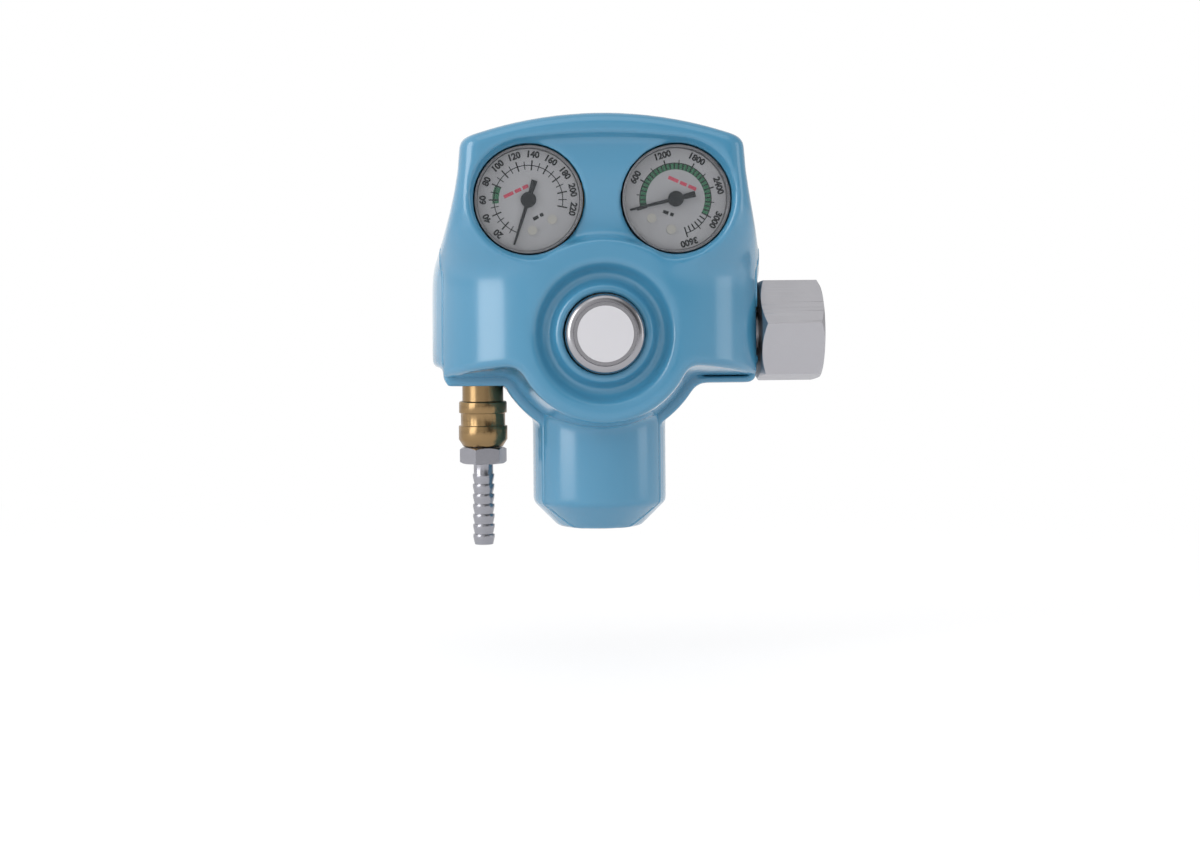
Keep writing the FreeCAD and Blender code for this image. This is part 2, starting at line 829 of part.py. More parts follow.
def rear_cover():
    """Moulded rear half, with through bosses for the screws, the inlet and outlet openings and the vent."""
    body = new_body("rear_cover")
    rear_form(body, 0, 0)
    dress(body, "Fillet", D.rim_corner, on_rim_corner)
    halfspace(body, D.parting_depth, True)
    dress(body, "Fillet", D.ledge_round, on_ledge)
    hollow(body, rear_form, "rear_cover_core")
    add_rear_bosses(body)
    cut_rear_openings(body)
    cut_rear_screw_holes(body)
    return body


def add_rear_bosses(body):
    inside = D.cover_wall / 2
    upper = both_sides(D.screw_upper_offset, D.screw_upper_height, D.rear_boss_radius)
    upper_length = D.upper_boss_back + D.parting_depth
    upper_sketch = sketch_on(body, "XZ", D.parting_depth, *upper)
    grow(body, "Pad", upper_sketch, Length=upper_length, Reversed=True)
    lower = both_sides(D.screw_lower_offset, -D.screw_lower_height, D.rear_boss_radius)
    lower_length = D.rim_back - inside + D.parting_depth
    lower_sketch = sketch_on(body, "XZ", D.parting_depth, *lower)
    grow(body, "Pad", lower_sketch, Length=lower_length, Reversed=True)
    middle = middle_screw_circles(D.rear_boss_radius)
    middle_sketch = sketch_on(body, "XZ", -D.bar_back, *middle)
    grow(body, "Pad", middle_sketch, Length=D.barrel_back - inside - D.bar_back, Reversed=True)


def cut_rear_openings(body):
    parting = -D.parting_depth
    reach = D.barrel_half_width + D.cover_wall
    side_flat = box_path(D.nut_recess_half_width, reach, -D.rear_apron_radius, D.nut_recess_top)
    grow(body, "Pocket", sketch_on(body, "XZ", 0, side_flat), Type=1, Midplane=True)
    radius = D.inlet_opening_radius
    inlet = [
        (parting - 1, -radius),
        (0, -radius),
        Bend((0, radius), (0, 0), 1),
        (parting - 1, radius),
    ]
    inlet_sketch = sketch_on(body, "YZ", D.inlet_boss_end, inlet)
    grow(body, "Pocket", inlet_sketch, Type=1, Reversed=True)
    radius, x = D.outlet_opening_radius, -D.outlet_offset
    outlet = [
        (x + radius, parting - 1),
        (x + radius, 0),
        Bend((x - radius, 0), (x, 0), 1),
        (x - radius, parting - 1),
    ]
    outlet_sketch = sketch_on(body, "XY", -D.rim_height, outlet)
    grow(body, "Pocket", outlet_sketch, Type=1)
    slots = []
    for row in (-1, 0, 1):
        level = row * D.vent_pitch - D.vent_drop
        half_width, half_height = D.vent_width / 2, D.vent_height / 2
        slots.append(box_path(-half_width, half_width, level - half_height, level + half_height))
    grow(body, "Pocket", sketch_on(body, "XZ", -D.rim_back, *slots), Type=1)


def cut_rear_screw_holes(body):
    """Screw holes with sunk heads, all cut from behind."""
    back = D.barrel_back + 1
    holes = sketch_on(body, "XZ", -back, *cover_screw_circles(D.screw_hole_radius))
    grow(body, "Pocket", holes, Type=1, Reversed=True)
    heads = sketch_on(body, "XZ", -back, *cover_screw_circles(D.screw_head_hole_radius))
    grow(body, "Pocket", heads, Length=back - D.screw_seat_depth, Reversed=True)
    middle = both_sides(D.body_screw_offset, D.gauge_height, D.screw_hole_radius)
    grow(body, "Pocket", sketch_on(body, "XZ", -back, *middle), Length=back - D.bar_back + 1, Reversed=True)
    seat = D.bar_back + D.body_screw_seat
    middle_heads = both_sides(D.body_screw_offset, D.gauge_height, D.screw_head_hole_radius)
    grow(body, "Pocket", sketch_on(body, "XZ", -back, *middle_heads), Length=back - seat, Reversed=True)


def is_ring(edge, axis, radius, level):
    """True on a circle of this radius about the body's own axis, at this level along it."""
    for p in samples(edge):
        along, across = {
            "x": (p.x, math.hypot(p.y, p.z)),
            "y": (p.y, math.hypot(p.x, p.z)),
            "z": (p.z, math.hypot(p.x, p.y)),
        }[axis]
        if abs(along - level) > FINE or abs(across - radius) > FINE:
            return False
    return True


def turned(name, path, axis="z", x=0, y=0, z=0):
    """A turned piece. Its outline runs in radius and height along its own axis."""
    body = new_body(name, x, y, z)
    if axis == "x":
        flipped = []
        for step in path:
            if isinstance(step, Bend):
                flipped.append(Bend(step.end[::-1], step.centre[::-1], -step.turn))
            else:
                flipped.append(step[::-1])
        turn(body, flipped, "XZ", "H_Axis")
    else:
        turn(body, path, {"y": "XY", "z": "XZ"}[axis])
    return body


def bore(body, plane, offset, reverse, depth, x, y, radius):
    """A round hole along the normal of a plane."""
    sketch = sketch_on(body, plane, offset, circle_path(x, y, radius))
    return grow(body, "Pocket", sketch, Length=depth, Reversed=reverse)


def regulator_body():
    """Brass forging: a column for the valve, an arm from inlet to outlet and a bar for the gauges."""
    body = turned(
        "regulator_body",
        [
            (0, -D.spigot_bottom),
            (D.spigot_radius, -D.spigot_bottom),
            (D.spigot_radius, -D.spigot_top),
            (D.body_radius, -D.spigot_top),
            (D.body_radius, D.body_top),
            (0, D.body_top),
        ],
    )
    dress(body, "Fillet", D.body_edge_round, lambda e: is_ring(e, "z", D.body_radius, D.body_top))
    arm_end = D.outlet_offset + D.arm_end_wall
    arm = sketch_on(body, "YZ", -arm_end, circle_path(0, 0, D.arm_radius))
    grow(body, "Pad", arm, Length=arm_end + D.inlet_boss_end)
    plug_boss = sketch_on(body, "XZ", 0, circle_path(0, 0, D.plug_boss_radius))
    grow(body, "Pad", plug_boss, Length=D.plug_boss_front)
    relief_boss = sketch_on(body, "XZ", 0, circle_path(0, -D.relief_level, D.relief_boss_radius))
    grow(body, "Pad", relief_boss, Length=D.body_radius, Reversed=True)
    outlet_circle = circle_path(-D.outlet_offset, 0, D.outlet_boss_radius)
    outlet_boss = sketch_on(body, "XY", -D.outlet_boss_bottom, outlet_circle)
    grow(body, "Pad", outlet_boss, Length=D.outlet_boss_bottom)
    low, high = D.gauge_height - D.bar_half_height, D.gauge_height + D.bar_half_height
    thickness = D.bar_back - D.bar_front
    neck = box_path(-D.neck_half_width, D.neck_half_width, 0, low + D.bar_half_height)
    grow(body, "Pad", sketch_on(body, "XZ", -D.bar_back, neck), Length=thickness)
    bar = box_path(-D.bar_half_width, D.bar_half_width, low, high)
    grow(body, "Pad", sketch_on(body, "XZ", -D.bar_back, bar), Length=thickness)
    bore_regulator_body(body)
    return body


def bore_regulator_body(body):
    """Ports and passages: the valve's column, the inlet, the outlet, the gauges, plug and relief."""
    gap = D.thread_gap
    stem = D.stem_radius + gap
    turn(
        body,
        [
            (0, -D.spigot_bottom - 1),
            (stem, -D.spigot_bottom - 1),
            (stem, -D.stem_groove_bottom),
            (D.stem_groove_radius, -D.stem_groove_bottom),
            (D.stem_groove_radius, -D.stem_groove_top),
            (stem, -D.stem_groove_top),
            (stem, -D.low_chamber_bottom),
            (D.low_chamber_radius, -D.low_chamber_bottom),
            (D.low_chamber_radius, -D.nozzle_seat),
            (D.nozzle_radius + gap / 2, -D.nozzle_seat),
            (D.nozzle_radius + gap / 2, D.nozzle_top),
            (D.high_chamber_radius, D.nozzle_top),
            (D.high_chamber_radius, D.high_chamber_top),
            (0, D.high_chamber_top),
        ],
        kind="Groove",
    )
    inlet_end = D.inlet_boss_end - D.inlet_port_depth
    bore(body, "YZ", inlet_end, True, D.inlet_port_depth + 1, 0, 0, D.nipple_thread_radius + gap)
    inlet = D.high_passage_offset
    bore(body, "YZ", inlet, True, inlet_end - inlet + 1, 0, 0, D.inlet_passage_radius)
    rise = (D.nozzle_top + D.high_chamber_top) / 2
    bore(body, "XY", 0, True, rise, inlet, 0, D.passage_radius)
    bore(body, "YZ", 0, True, inlet + D.passage_radius, 0, rise, D.passage_radius)
    level = -D.outlet_level
    bore(body, "YZ", -D.outlet_offset, True, D.outlet_offset, 0, level, D.outlet_passage_radius)
    outlet_depth = D.outlet_boss_bottom - D.outlet_port_top + 1
    outlet_port = D.coupler_thread_radius + gap
    bore(body, "XY", -D.outlet_boss_bottom - 1, True, outlet_depth, -D.outlet_offset, 0, outlet_port)
    for x in (-D.passage_offset, D.passage_offset):
        start = level if x < 0 else 0.0
        rise = D.gauge_height - start
        bore(body, "XY", start, True, rise, x, D.passage_depth, D.passage_radius)
        bore(body, "XZ", 0, False, D.passage_depth, x, start, D.passage_radius)
    ports = both_sides(D.gauge_offset, D.gauge_height, D.gauge_thread_radius + gap)
    port_sketch = sketch_on(body, "XZ", 1 - D.bar_front, *ports)
    grow(body, "Pocket", port_sketch, Length=D.gauge_port_depth + 1)
    reach = D.gauge_offset
    along = (D.passage_depth, D.gauge_height, D.passage_radius)
    bore(body, "YZ", D.passage_offset, True, reach - D.passage_offset, *along)
    bore(body, "YZ", -D.passage_offset, False, reach - D.passage_offset, *along)
    plug_depth = D.plug_port_depth + 1
    bore(body, "XZ", D.plug_boss_front + 1, False, plug_depth, 0, 0, D.plug_shank_radius + gap)
    screws = both_sides(D.body_screw_offset, D.gauge_height, D.screw_pilot_radius)
    screw_sketch = sketch_on(body, "XZ", -D.bar_back - 1, *screws)
    grow(body, "Pocket", screw_sketch, Length=D.body_screw_engagement + 2, Reversed=True)
    relief_port = D.relief_thread_length + 1.5
    port = D.relief_thread_radius + gap
    relief = -D.relief_level
    bore(body, "XZ", -D.body_radius - 1, True, relief_port, 0, relief, port)
    bore(body, "XZ", 0, False, D.body_radius - relief_port + 2, 0, relief, D.relief_seat_radius)


def ring(name, wire, radius, axis, x=0, y=0, z=0):
    """A round seal ring about its own axis, a little thinner than its groove."""
    return turned(name, circle_path(radius, 0, wire - D.fit_gap), axis, x, y, z)


def coil(name, radius, wire, length, turns, axis, x=0, y=0, z=0):
    """A wound spring that starts at its own origin and runs along its axis."""
    body = new_body(name, x, y, z)
    start = wire + D.fit_gap
    sketch = sketch_on(body, {"z": "XZ", "y": "XY"}[axis], 0, circle_path(radius, start, wire))
    helix = body.newObject("PartDesign::AdditiveHelix", "coil")
    helix.Profile = sketch
    helix.ReferenceAxis = (sketch, ["V_Axis"])
    helix.Mode = "height-turns-angle"
    bind(helix, "Height", length - 2 * start)
    bind(helix, "Turns", turns)
    DOC.recompute()
    return body


def hexagon_path(across_flats):
    """A hexagon with corners up and down."""
    corner, flat = across_flats / math.sqrt(3), across_flats / 2
    return [
        (0, -corner),
        (flat, -corner / 2),
        (flat, corner / 2),
        (0, corner),
        (-flat, corner / 2),
        (-flat, -corner / 2),
    ]


def nozzle():
    """Screwed-in nozzle: a lip round a small orifice, faced from below by the valve seat."""
    turned(
        "nozzle",
        [
            (D.orifice_radius, -D.nozzle_lip),
            (D.nozzle_lip_radius, -D.nozzle_lip),
            (D.nozzle_radius, -D.nozzle_seat),
            (D.nozzle_radius, D.nozzle_top),
            (D.nozzle_socket_radius, D.nozzle_top),
            (D.nozzle_socket_radius, D.nozzle_seat),
            (D.orifice_radius, D.nozzle_seat - D.nozzle_socket_radius),
        ],
    )


def piston():
    """Head with a ring groove and a hollow stem, whose tip holds the valve seat."""
    bottom = -D.piston_top - D.piston_head
    tip = -D.nozzle_lip - D.valve_travel
    seat = tip - D.seat_thickness
    groove = bottom + D.piston_groove_rise
    foot = D.piston_gap - D.bonnet_floor
    body = turned(
        "piston",
        [
            (D.stem_bore_radius, foot),
            (D.piston_foot_radius, foot),
            (D.piston_foot_radius, bottom),
            (D.piston_radius, bottom),
            (D.piston_radius, groove),
            (D.piston_groove_radius, groove),
            (D.piston_groove_radius, groove + D.piston_groove_width),
            (D.piston_radius, groove + D.piston_groove_width),
            (D.piston_radius, -D.piston_top),
            (D.stem_radius, -D.piston_top),
            (D.stem_radius, tip),
            (D.seat_radius, tip),
            (D.seat_radius, seat),
            (D.stem_bore_radius, seat),
        ],
    )
    cross = sketch_on(body, "YZ", 0, circle_path(0, tip - D.stem_cross_drop, D.stem_cross_radius))
    grow(body, "Pocket", cross, Type=1, Midplane=True)


def piston_parts():
    """The valve seat, both seal rings and the main spring."""
    tip = -D.nozzle_lip - D.valve_travel
    turned("valve_seat", box_path(0, D.seat_radius - D.fit_gap, tip - D.seat_thickness, tip))
    groove = D.piston_groove_rise + D.piston_groove_width / 2 - D.piston_top - D.piston_head
    ring("piston_o_ring", D.piston_ring_wire, D.piston_radius - D.piston_ring_wire, "z", z=groove)
    stem_groove = -(D.stem_groove_top + D.stem_groove_bottom) / 2
    stem_ring = D.stem_radius + D.thread_gap + D.stem_ring_wire
    ring("stem_o_ring", D.stem_ring_wire, stem_ring, "z", z=stem_groove)
    length = D.piston_top - D.spigot_bottom
    coil("main_spring", D.spring_radius, D.spring_wire, length, D.spring_turns, "z", z=-D.piston_top)


def bonnet():
    """Screwed-on cup that guides the piston."""
    bore_radius = D.piston_radius + D.piston_gap
    mouth = D.spigot_radius + D.thread_gap
    turned(
        "bonnet",
        [
            (0, -D.bonnet_bottom),
            (D.bonnet_radius - D.bonnet_chamfer, -D.bonnet_bottom),
            (D.bonnet_radius, D.bonnet_chamfer - D.bonnet_bottom),
            (D.bonnet_radius, -D.spigot_top),
            (mouth, -D.spigot_top),
            (mouth, -D.spigot_bottom - D.bonnet_relief),
            (bore_radius, -D.spigot_bottom - D.bonnet_relief),
            (bore_radius, -D.bonnet_floor),
            (0, -D.bonnet_floor),
        ],
    )


def bevel_hexagon(body, axis, across_flats, start, end, rise):
    """Turns the corners off both ends of a hexagon along the body's own axis."""
    flat, corner = across_flats / 2, across_flats / math.sqrt(3)
    beyond = corner + rise
    for level, inward in ((start, rise), (end, -rise)):
        bevel = [
            (flat, level),
            (corner, level + inward),
            (beyond, level + inward),
            (beyond, level - inward),
            (flat, level - inward),
        ]
        if axis == "x":
            turn(body, [corner_point[::-1] for corner_point in bevel], "XZ", "H_Axis", "Groove")
        else:
            turn(body, bevel, "XZ", "V_Axis", "Groove")


def inlet_nut():
    """Hexagon nut, bevelled at both ends, with a back wall that draws on the nipple's collar."""
    body = new_body("inlet_nut", D.inlet_reach + D.nut_lead_in - D.nut_length)
    body.Placement.Rotation = Rotation(Vector(1, 0, 0), float(D.nut_turn))
    grow(body, "Pad", sketch_on(body, "YZ", 0, hexagon_path(D.nut_across_flats)), Length=D.nut_length)
    bevel_hexagon(body, "x", D.nut_across_flats, 0, D.nut_length, D.nut_chamfer_rise)
    thread = D.nut_length - D.nut_thread_length
    hole = D.nipple_radius + D.nut_bore_gap
    beyond = D.nut_length + 1
    inside = [
        (-1, 0),
        (-1, hole),
        (D.nut_wall, hole),
        (D.nut_wall, D.nut_relief_radius),
        (thread, D.nut_relief_radius),
        (thread, D.nut_thread_radius),
        (D.nut_length - D.nut_lead_in, D.nut_thread_radius),
        (D.nut_length, D.nut_thread_radius + D.nut_lead_in),
        (beyond, D.nut_thread_radius + D.nut_lead_in),
        (beyond, 0),
    ]
    turn(body, inside, "XZ", "H_Axis", "Groove")


def nipple_end():
    """Where the nipple's collar, nose and tip lie along the inlet axis."""
    collar = D.inlet_reach + D.nut_lead_in - D.nut_length + D.nut_wall + D.nut_collar_gap
    nose = collar + D.nipple_collar_length
    return collar, nose, nose + D.nose_length


def inlet_parts():
    """Nipple with a collar for the nut, and a nose that holds the filter and the washer."""
    start = D.inlet_boss_end - D.inlet_port_depth
    shoulder = D.inlet_boss_end + D.nipple_shoulder_length
    collar, nose, tip = nipple_end()
    turned(
        "inlet_nipple",
        [
            (D.inlet_passage_radius, start),
            (D.nipple_thread_radius, start),
            (D.nipple_thread_radius, D.inlet_boss_end),
            (D.nipple_shoulder_radius, D.inlet_boss_end),
            (D.nipple_shoulder_radius, shoulder),
            (D.nipple_radius, shoulder),
            (D.nipple_radius, collar),
            (D.nipple_collar_radius, collar),
            (D.nipple_collar_radius, nose),
            (D.nose_radius, nose),
            (D.nose_radius, tip),
            (D.filter_radius, tip),
            (D.filter_radius, tip - D.filter_depth),
            (D.inlet_passage_radius, tip - D.filter_depth),
        ],
        "x",
    )
    filter_radius = D.filter_radius - D.fit_gap
    turned("inlet_filter", box_path(0, filter_radius, tip - D.filter_depth, tip - D.fit_gap), "x")
    washer = box_path(D.washer_hole_radius, D.washer_radius, tip, tip + D.washer_thickness)
    turned("inlet_washer", washer, "x")


def centre_plug():
    """Blanking plug: a bright head with a rounded rim and a sunk ring, on a screwed shank."""
    front, seat = -D.plug_front, -D.plug_boss_front
    sunk = front + D.plug_step
    pocket = front + D.disc_thickness - D.disc_stand
    edge, rim = front + D.plug_round, D.plug_radius - D.plug_round
    groove = seat - 2 * D.plug_ring_wire
    groove_radius = D.plug_ring_radius + D.plug_ring_wire
    shank = seat + D.plug_shank_length
    turned(
        "centre_plug",
        [
            (0, pocket),
            (D.disc_radius, pocket),
            (D.disc_radius, sunk),
            (rim - D.plug_step, sunk),
            (rim, front),
            Bend((D.plug_radius, edge), (rim, edge), 1),
            (D.plug_radius, seat),
            (groove_radius, seat),
            (groove_radius, groove),
            (D.plug_shank_radius, groove),
            (D.plug_shank_radius, shank),
            (0, shank),
        ],
        "y",
    )
    disc = box_path(0, D.disc_radius - D.fit_gap, front - D.disc_stand, pocket)
    turned("plug_disc", disc, "y")
    ring("plug_o_ring", D.plug_ring_wire, D.plug_ring_radius, "y", y=seat - D.plug_ring_wire)


def relief_valve():
    """Relief valve screwed into the back of the body: a flanged cap, a spring and a poppet on its seat."""
    place = {"y": D.body_radius, "z": -D.relief_level}
    start = -D.relief_thread_length
    seat = start + D.relief_seat_wall
    cap = D.relief_flange_length
    ceiling = cap - D.relief_cap_wall
    turned(
        "relief_valve_body",
        [
            (D.relief_seat_radius, start),
            (D.relief_thread_radius, start),
            (D.relief_thread_radius, 0),
            (D.relief_flange_radius, 0),
            (D.relief_flange_radius, cap),
            (D.relief_vent_radius, cap),
            (D.relief_vent_radius, ceiling),
            (D.relief_bore_radius, ceiling),
            (D.relief_bore_radius, seat),
            (D.relief_seat_radius, seat),
        ],
        "y",
        **place,
    )
    poppet = seat + D.poppet_length
    turned(
        "relief_poppet",
        [
            (0, seat),
            (D.poppet_radius, seat),
            (D.poppet_radius, poppet),
            (D.poppet_pin_radius, poppet),
            (D.poppet_pin_radius, poppet + D.poppet_pin_length),
            (0, poppet + D.poppet_pin_length),
        ],
        "y",
        **place,
    )
    place["y"] = D.body_radius + poppet
    wire, turns = D.relief_spring_wire, D.relief_spring_turns
    coil("relief_spring", D.relief_spring_radius, wire, ceiling - poppet, turns, "y", **place)


def gauge(name, side, zero, scale_turn):
    """One pressure gauge: case, lens, dial, pointer, works and the stem that screws into the bar."""
    place = {"x": side * D.gauge_offset, "z": D.gauge_height}
    mouth, back = -D.case_front, -D.case_back
    bore_radius, inside = D.case_radius - D.case_wall, back - D.case_floor
    turned(
        name + "_gauge_case",
        [
            (D.stem_hole_radius, back),
            (D.case_radius - D.case_floor, back),
            (D.case_radius, inside),
            (D.case_radius, mouth),
            (bore_radius, mouth),
            (bore_radius, inside),
            (D.stem_hole_radius, inside),
        ],
        "y",
        **place,
    )
    plug = mouth + D.lens_plug
    turned(
        name + "_gauge_lens",
        [
            (0, plug),
            (bore_radius - D.fit_gap, plug),
            (bore_radius - D.fit_gap, mouth),
            (D.case_radius, mouth),
            (D.case_radius, mouth - D.lens_edge),
            (D.case_radius - D.lens_crown, mouth - D.lens_flange),
            (0, mouth - D.lens_flange),
        ],
        "y",
        **place,
    )
    face = plug + D.dial_depth
    gauge_dial(name, place, face, scale_turn)
    gauge_pointer(name, place, face, zero)
    gauge_movement(name, place, face, inside - D.socket_height)
    gauge_stem(name, place, inside, (D.back_plate_drop + D.front_plate_drop) / 2 + face)


def gauge_dial(name, place, face, scale_turn):
    """Dial plate held by two screws that stand either side of the gap in its scale."""
    radius = D.case_radius - D.case_wall - D.dial_gap
    plate = box_path(D.dial_hole_radius, radius, face, face + D.dial_thickness)
    dial = turned(name + "_dial", plate, "y", **place)
    screws = new_body(name + "_dial_screws", **place)
    spots = []
    for sign in (-1, 1):
        angle = math.radians(float(scale_turn + sign * D.dial_screw_spread))
        spots.append((D.dial_screw_distance * math.cos(angle), D.dial_screw_distance * math.sin(angle)))
    hole = [circle_path(*spot, D.dial_screw_shank_radius + D.fit_gap) for spot in spots]
    grow(dial, "Pocket", sketch_on(dial, "XZ", -face + 1, *hole), Length=D.dial_thickness + 2)
    heads = [circle_path(*spot, D.dial_screw_radius) for spot in spots]
    grow(screws, "Pad", sketch_on(screws, "XZ", -face, *heads), Length=D.dial_screw_height)
    shanks = [circle_path(*spot, D.dial_screw_shank_radius) for spot in spots]
    shank_length = D.dial_screw_shank_length
    grow(screws, "Pad", sketch_on(screws, "XZ", -face, *shanks), Length=shank_length, Reversed=True)


def gauge_pointer(name, place, face, zero):
    """Pointer with its hub and arbor, drawn along +X and turned to the dial's zero."""
    body = new_body(name + "_pointer", **place)
    body.Placement.Rotation = Rotation(Vector(0, -1, 0), float(zero))
    outline = [
        (-D.pointer_tail, -D.pointer_tail_half_width),
        (0, -D.pointer_half_width),
        (D.pointer_length, -D.pointer_tip_half_width),
        (D.pointer_length, D.pointer_tip_half_width),
        (0, D.pointer_half_width),
        (-D.pointer_tail, D.pointer_tail_half_width),
    ]
    grow(body, "Pad", sketch_on(body, "XZ", D.pointer_lift - face, outline), Length=D.pointer_thickness)
    hub = face - D.hub_lift
    arbor = [
        (0, hub - D.hub_height),
        (D.hub_radius, hub - D.hub_height),
        (D.hub_radius, hub),
        (D.arbor_radius, hub),
        (D.arbor_radius, hub + D.arbor_length),
        (0, hub + D.arbor_length),
    ]
    turn(body, arbor, "XY")


def gauge_movement(name, place, face, floor):
    """Two plates on posts behind the dial, standing on the socket, with the pointer's arbor through both."""
    body = new_body(name + "_gauge_movement", **place)
    front_plate, back_plate = face + D.front_plate_drop, face + D.back_plate_drop
    radius = D.plate_radius
    posts = both_sides(D.post_distance, 0, D.post_radius)
    plate = sketch_on(body, "XZ", -front_plate, circle_path(0, 0, radius))
    grow(body, "Pad", plate, Length=D.plate_thickness, Reversed=True)
    feet = sketch_on(body, "XZ", -front_plate, *posts)
    grow(body, "Pad", feet, Length=D.front_plate_drop - D.dial_thickness)
    columns = sketch_on(body, "XZ", -front_plate, *posts)
    grow(body, "Pad", columns, Length=back_plate - front_plate, Reversed=True)
    back = sketch_on(body, "XZ", -back_plate, circle_path(0, 0, radius))
    grow(body, "Pad", back, Length=floor - back_plate, Reversed=True)
    arbor = sketch_on(body, "XZ", 1 - front_plate, circle_path(0, 0, D.arbor_radius + D.arbor_gap))
    grow(body, "Pocket", arbor, Length=floor - front_plate + 2)


def gauge_stem(name, place, inside, middle):
    """Brass socket inside the case with the tube's root, the hexagon and the thread, and the tube itself."""
    socket = new_body(name + "_gauge_socket", **place)
    half, root = D.socket_half_width, D.tube_radius + D.tube_half_width + D.root_wall
    block = sketch_on(socket, "XZ", -inside, box_path(-half, half, -root, half))
    grow(socket, "Pad", block, Length=D.socket_height)
    riser = box_path(
        middle - D.tube_half_depth,
        inside,
        -root,
        D.tube_half_width + D.root_wall - D.tube_radius,
    )
    riser_sketch = sketch_on(socket, "YZ", 0, riser)
    grow(
        socket,
        "Revolution",
        riser_sketch,
        ReferenceAxis=(riser_sketch, ["H_Axis"]),
        Angle=float(D.root_angle),
        Midplane=True,
    )
    back, seat = inside + D.case_floor, D.bar_front - D.seal_thickness
    neck = sketch_on(socket, "XZ", -inside, circle_path(0, 0, D.stem_hole_radius - D.fit_gap))
    grow(socket, "Pad", neck, Length=D.case_floor, Reversed=True)
    hexagon = sketch_on(socket, "XZ", -back, hexagon_path(D.stem_hex))
    grow(socket, "Pad", hexagon, Length=seat - back, Reversed=True)
    thread = sketch_on(socket, "XZ", -seat, circle_path(0, 0, D.gauge_thread_radius))
    end = D.seal_thickness + D.gauge_thread_length
    grow(socket, "Pad", thread, Length=end, Reversed=True)
    passage = sketch_on(socket, "XZ", -seat - end, circle_path(0, 0, D.passage_radius))
    grow(socket, "Pocket", passage, Length=seat + end - inside + 1, Reversed=True)
    washer = box_path(D.gauge_thread_radius + D.fit_gap, D.stem_hex / 2, seat, seat + D.seal_thickness)
    turned(name + "_gauge_seal", washer, "y", **place)
    tube = new_body(name + "_bourdon_tube", **place)
    start = CORNER + float(D.root_angle) / 2
    tube.Placement.Rotation = Rotation(Vector(0, 1, 0), start)
    section = box_path(
        D.tube_radius - D.tube_half_width,
        D.tube_radius + D.tube_half_width,
        middle - D.tube_half_depth,
        middle + D.tube_half_depth,
    )
    sketch = sketch_on(tube, "XY", 0, section)
    grow(tube, "Revolution", sketch, ReferenceAxis=(sketch, ["V_Axis"]), Angle=float(D.tube_sweep))


def coupler_body():
    """Female half of the quick coupling: thread, neck and a thin core with holes for the locking balls."""
    clip_groove = D.coupler_core_radius - D.clip_depth
    clip_bottom = -D.clip_top - D.clip_thickness
    hole = D.probe_radius + D.probe_fit
    body = turned(
        "coupler_body",
        [
            (hole, -D.coupler_bottom),
            (D.coupler_core_radius, -D.coupler_bottom),
            (D.coupler_core_radius, clip_bottom),
            (clip_groove, clip_bottom),
            (clip_groove, -D.clip_top),
            (D.coupler_core_radius, -D.clip_top),
            (D.coupler_core_radius, -D.coupler_neck_bottom),
            (D.coupler_neck_radius, -D.coupler_neck_bottom),
            (D.coupler_neck_radius, -D.outlet_boss_bottom),
            (D.coupler_thread_radius, -D.outlet_boss_bottom),
            (D.coupler_thread_radius, -D.coupler_thread_top),
            (D.coupler_passage_radius, -D.coupler_thread_top),
            (D.coupler_passage_radius, -D.coupler_bore_top),
            (hole, -D.coupler_bore_top),
            (hole, -D.ring_groove_top),
            (D.ring_groove_radius, -D.ring_groove_top),
            (D.ring_groove_radius, -D.ring_groove_bottom),
            (hole, -D.ring_groove_bottom),
        ],
        x=-D.outlet_offset,
    )
    for plane in ("YZ", "XZ"):
        ball_holes = sketch_on(body, plane, 0, circle_path(0, -D.ball_level, D.ball_radius + D.probe_fit))
        grow(body, "Pocket", ball_holes, Type=1, Midplane=True)


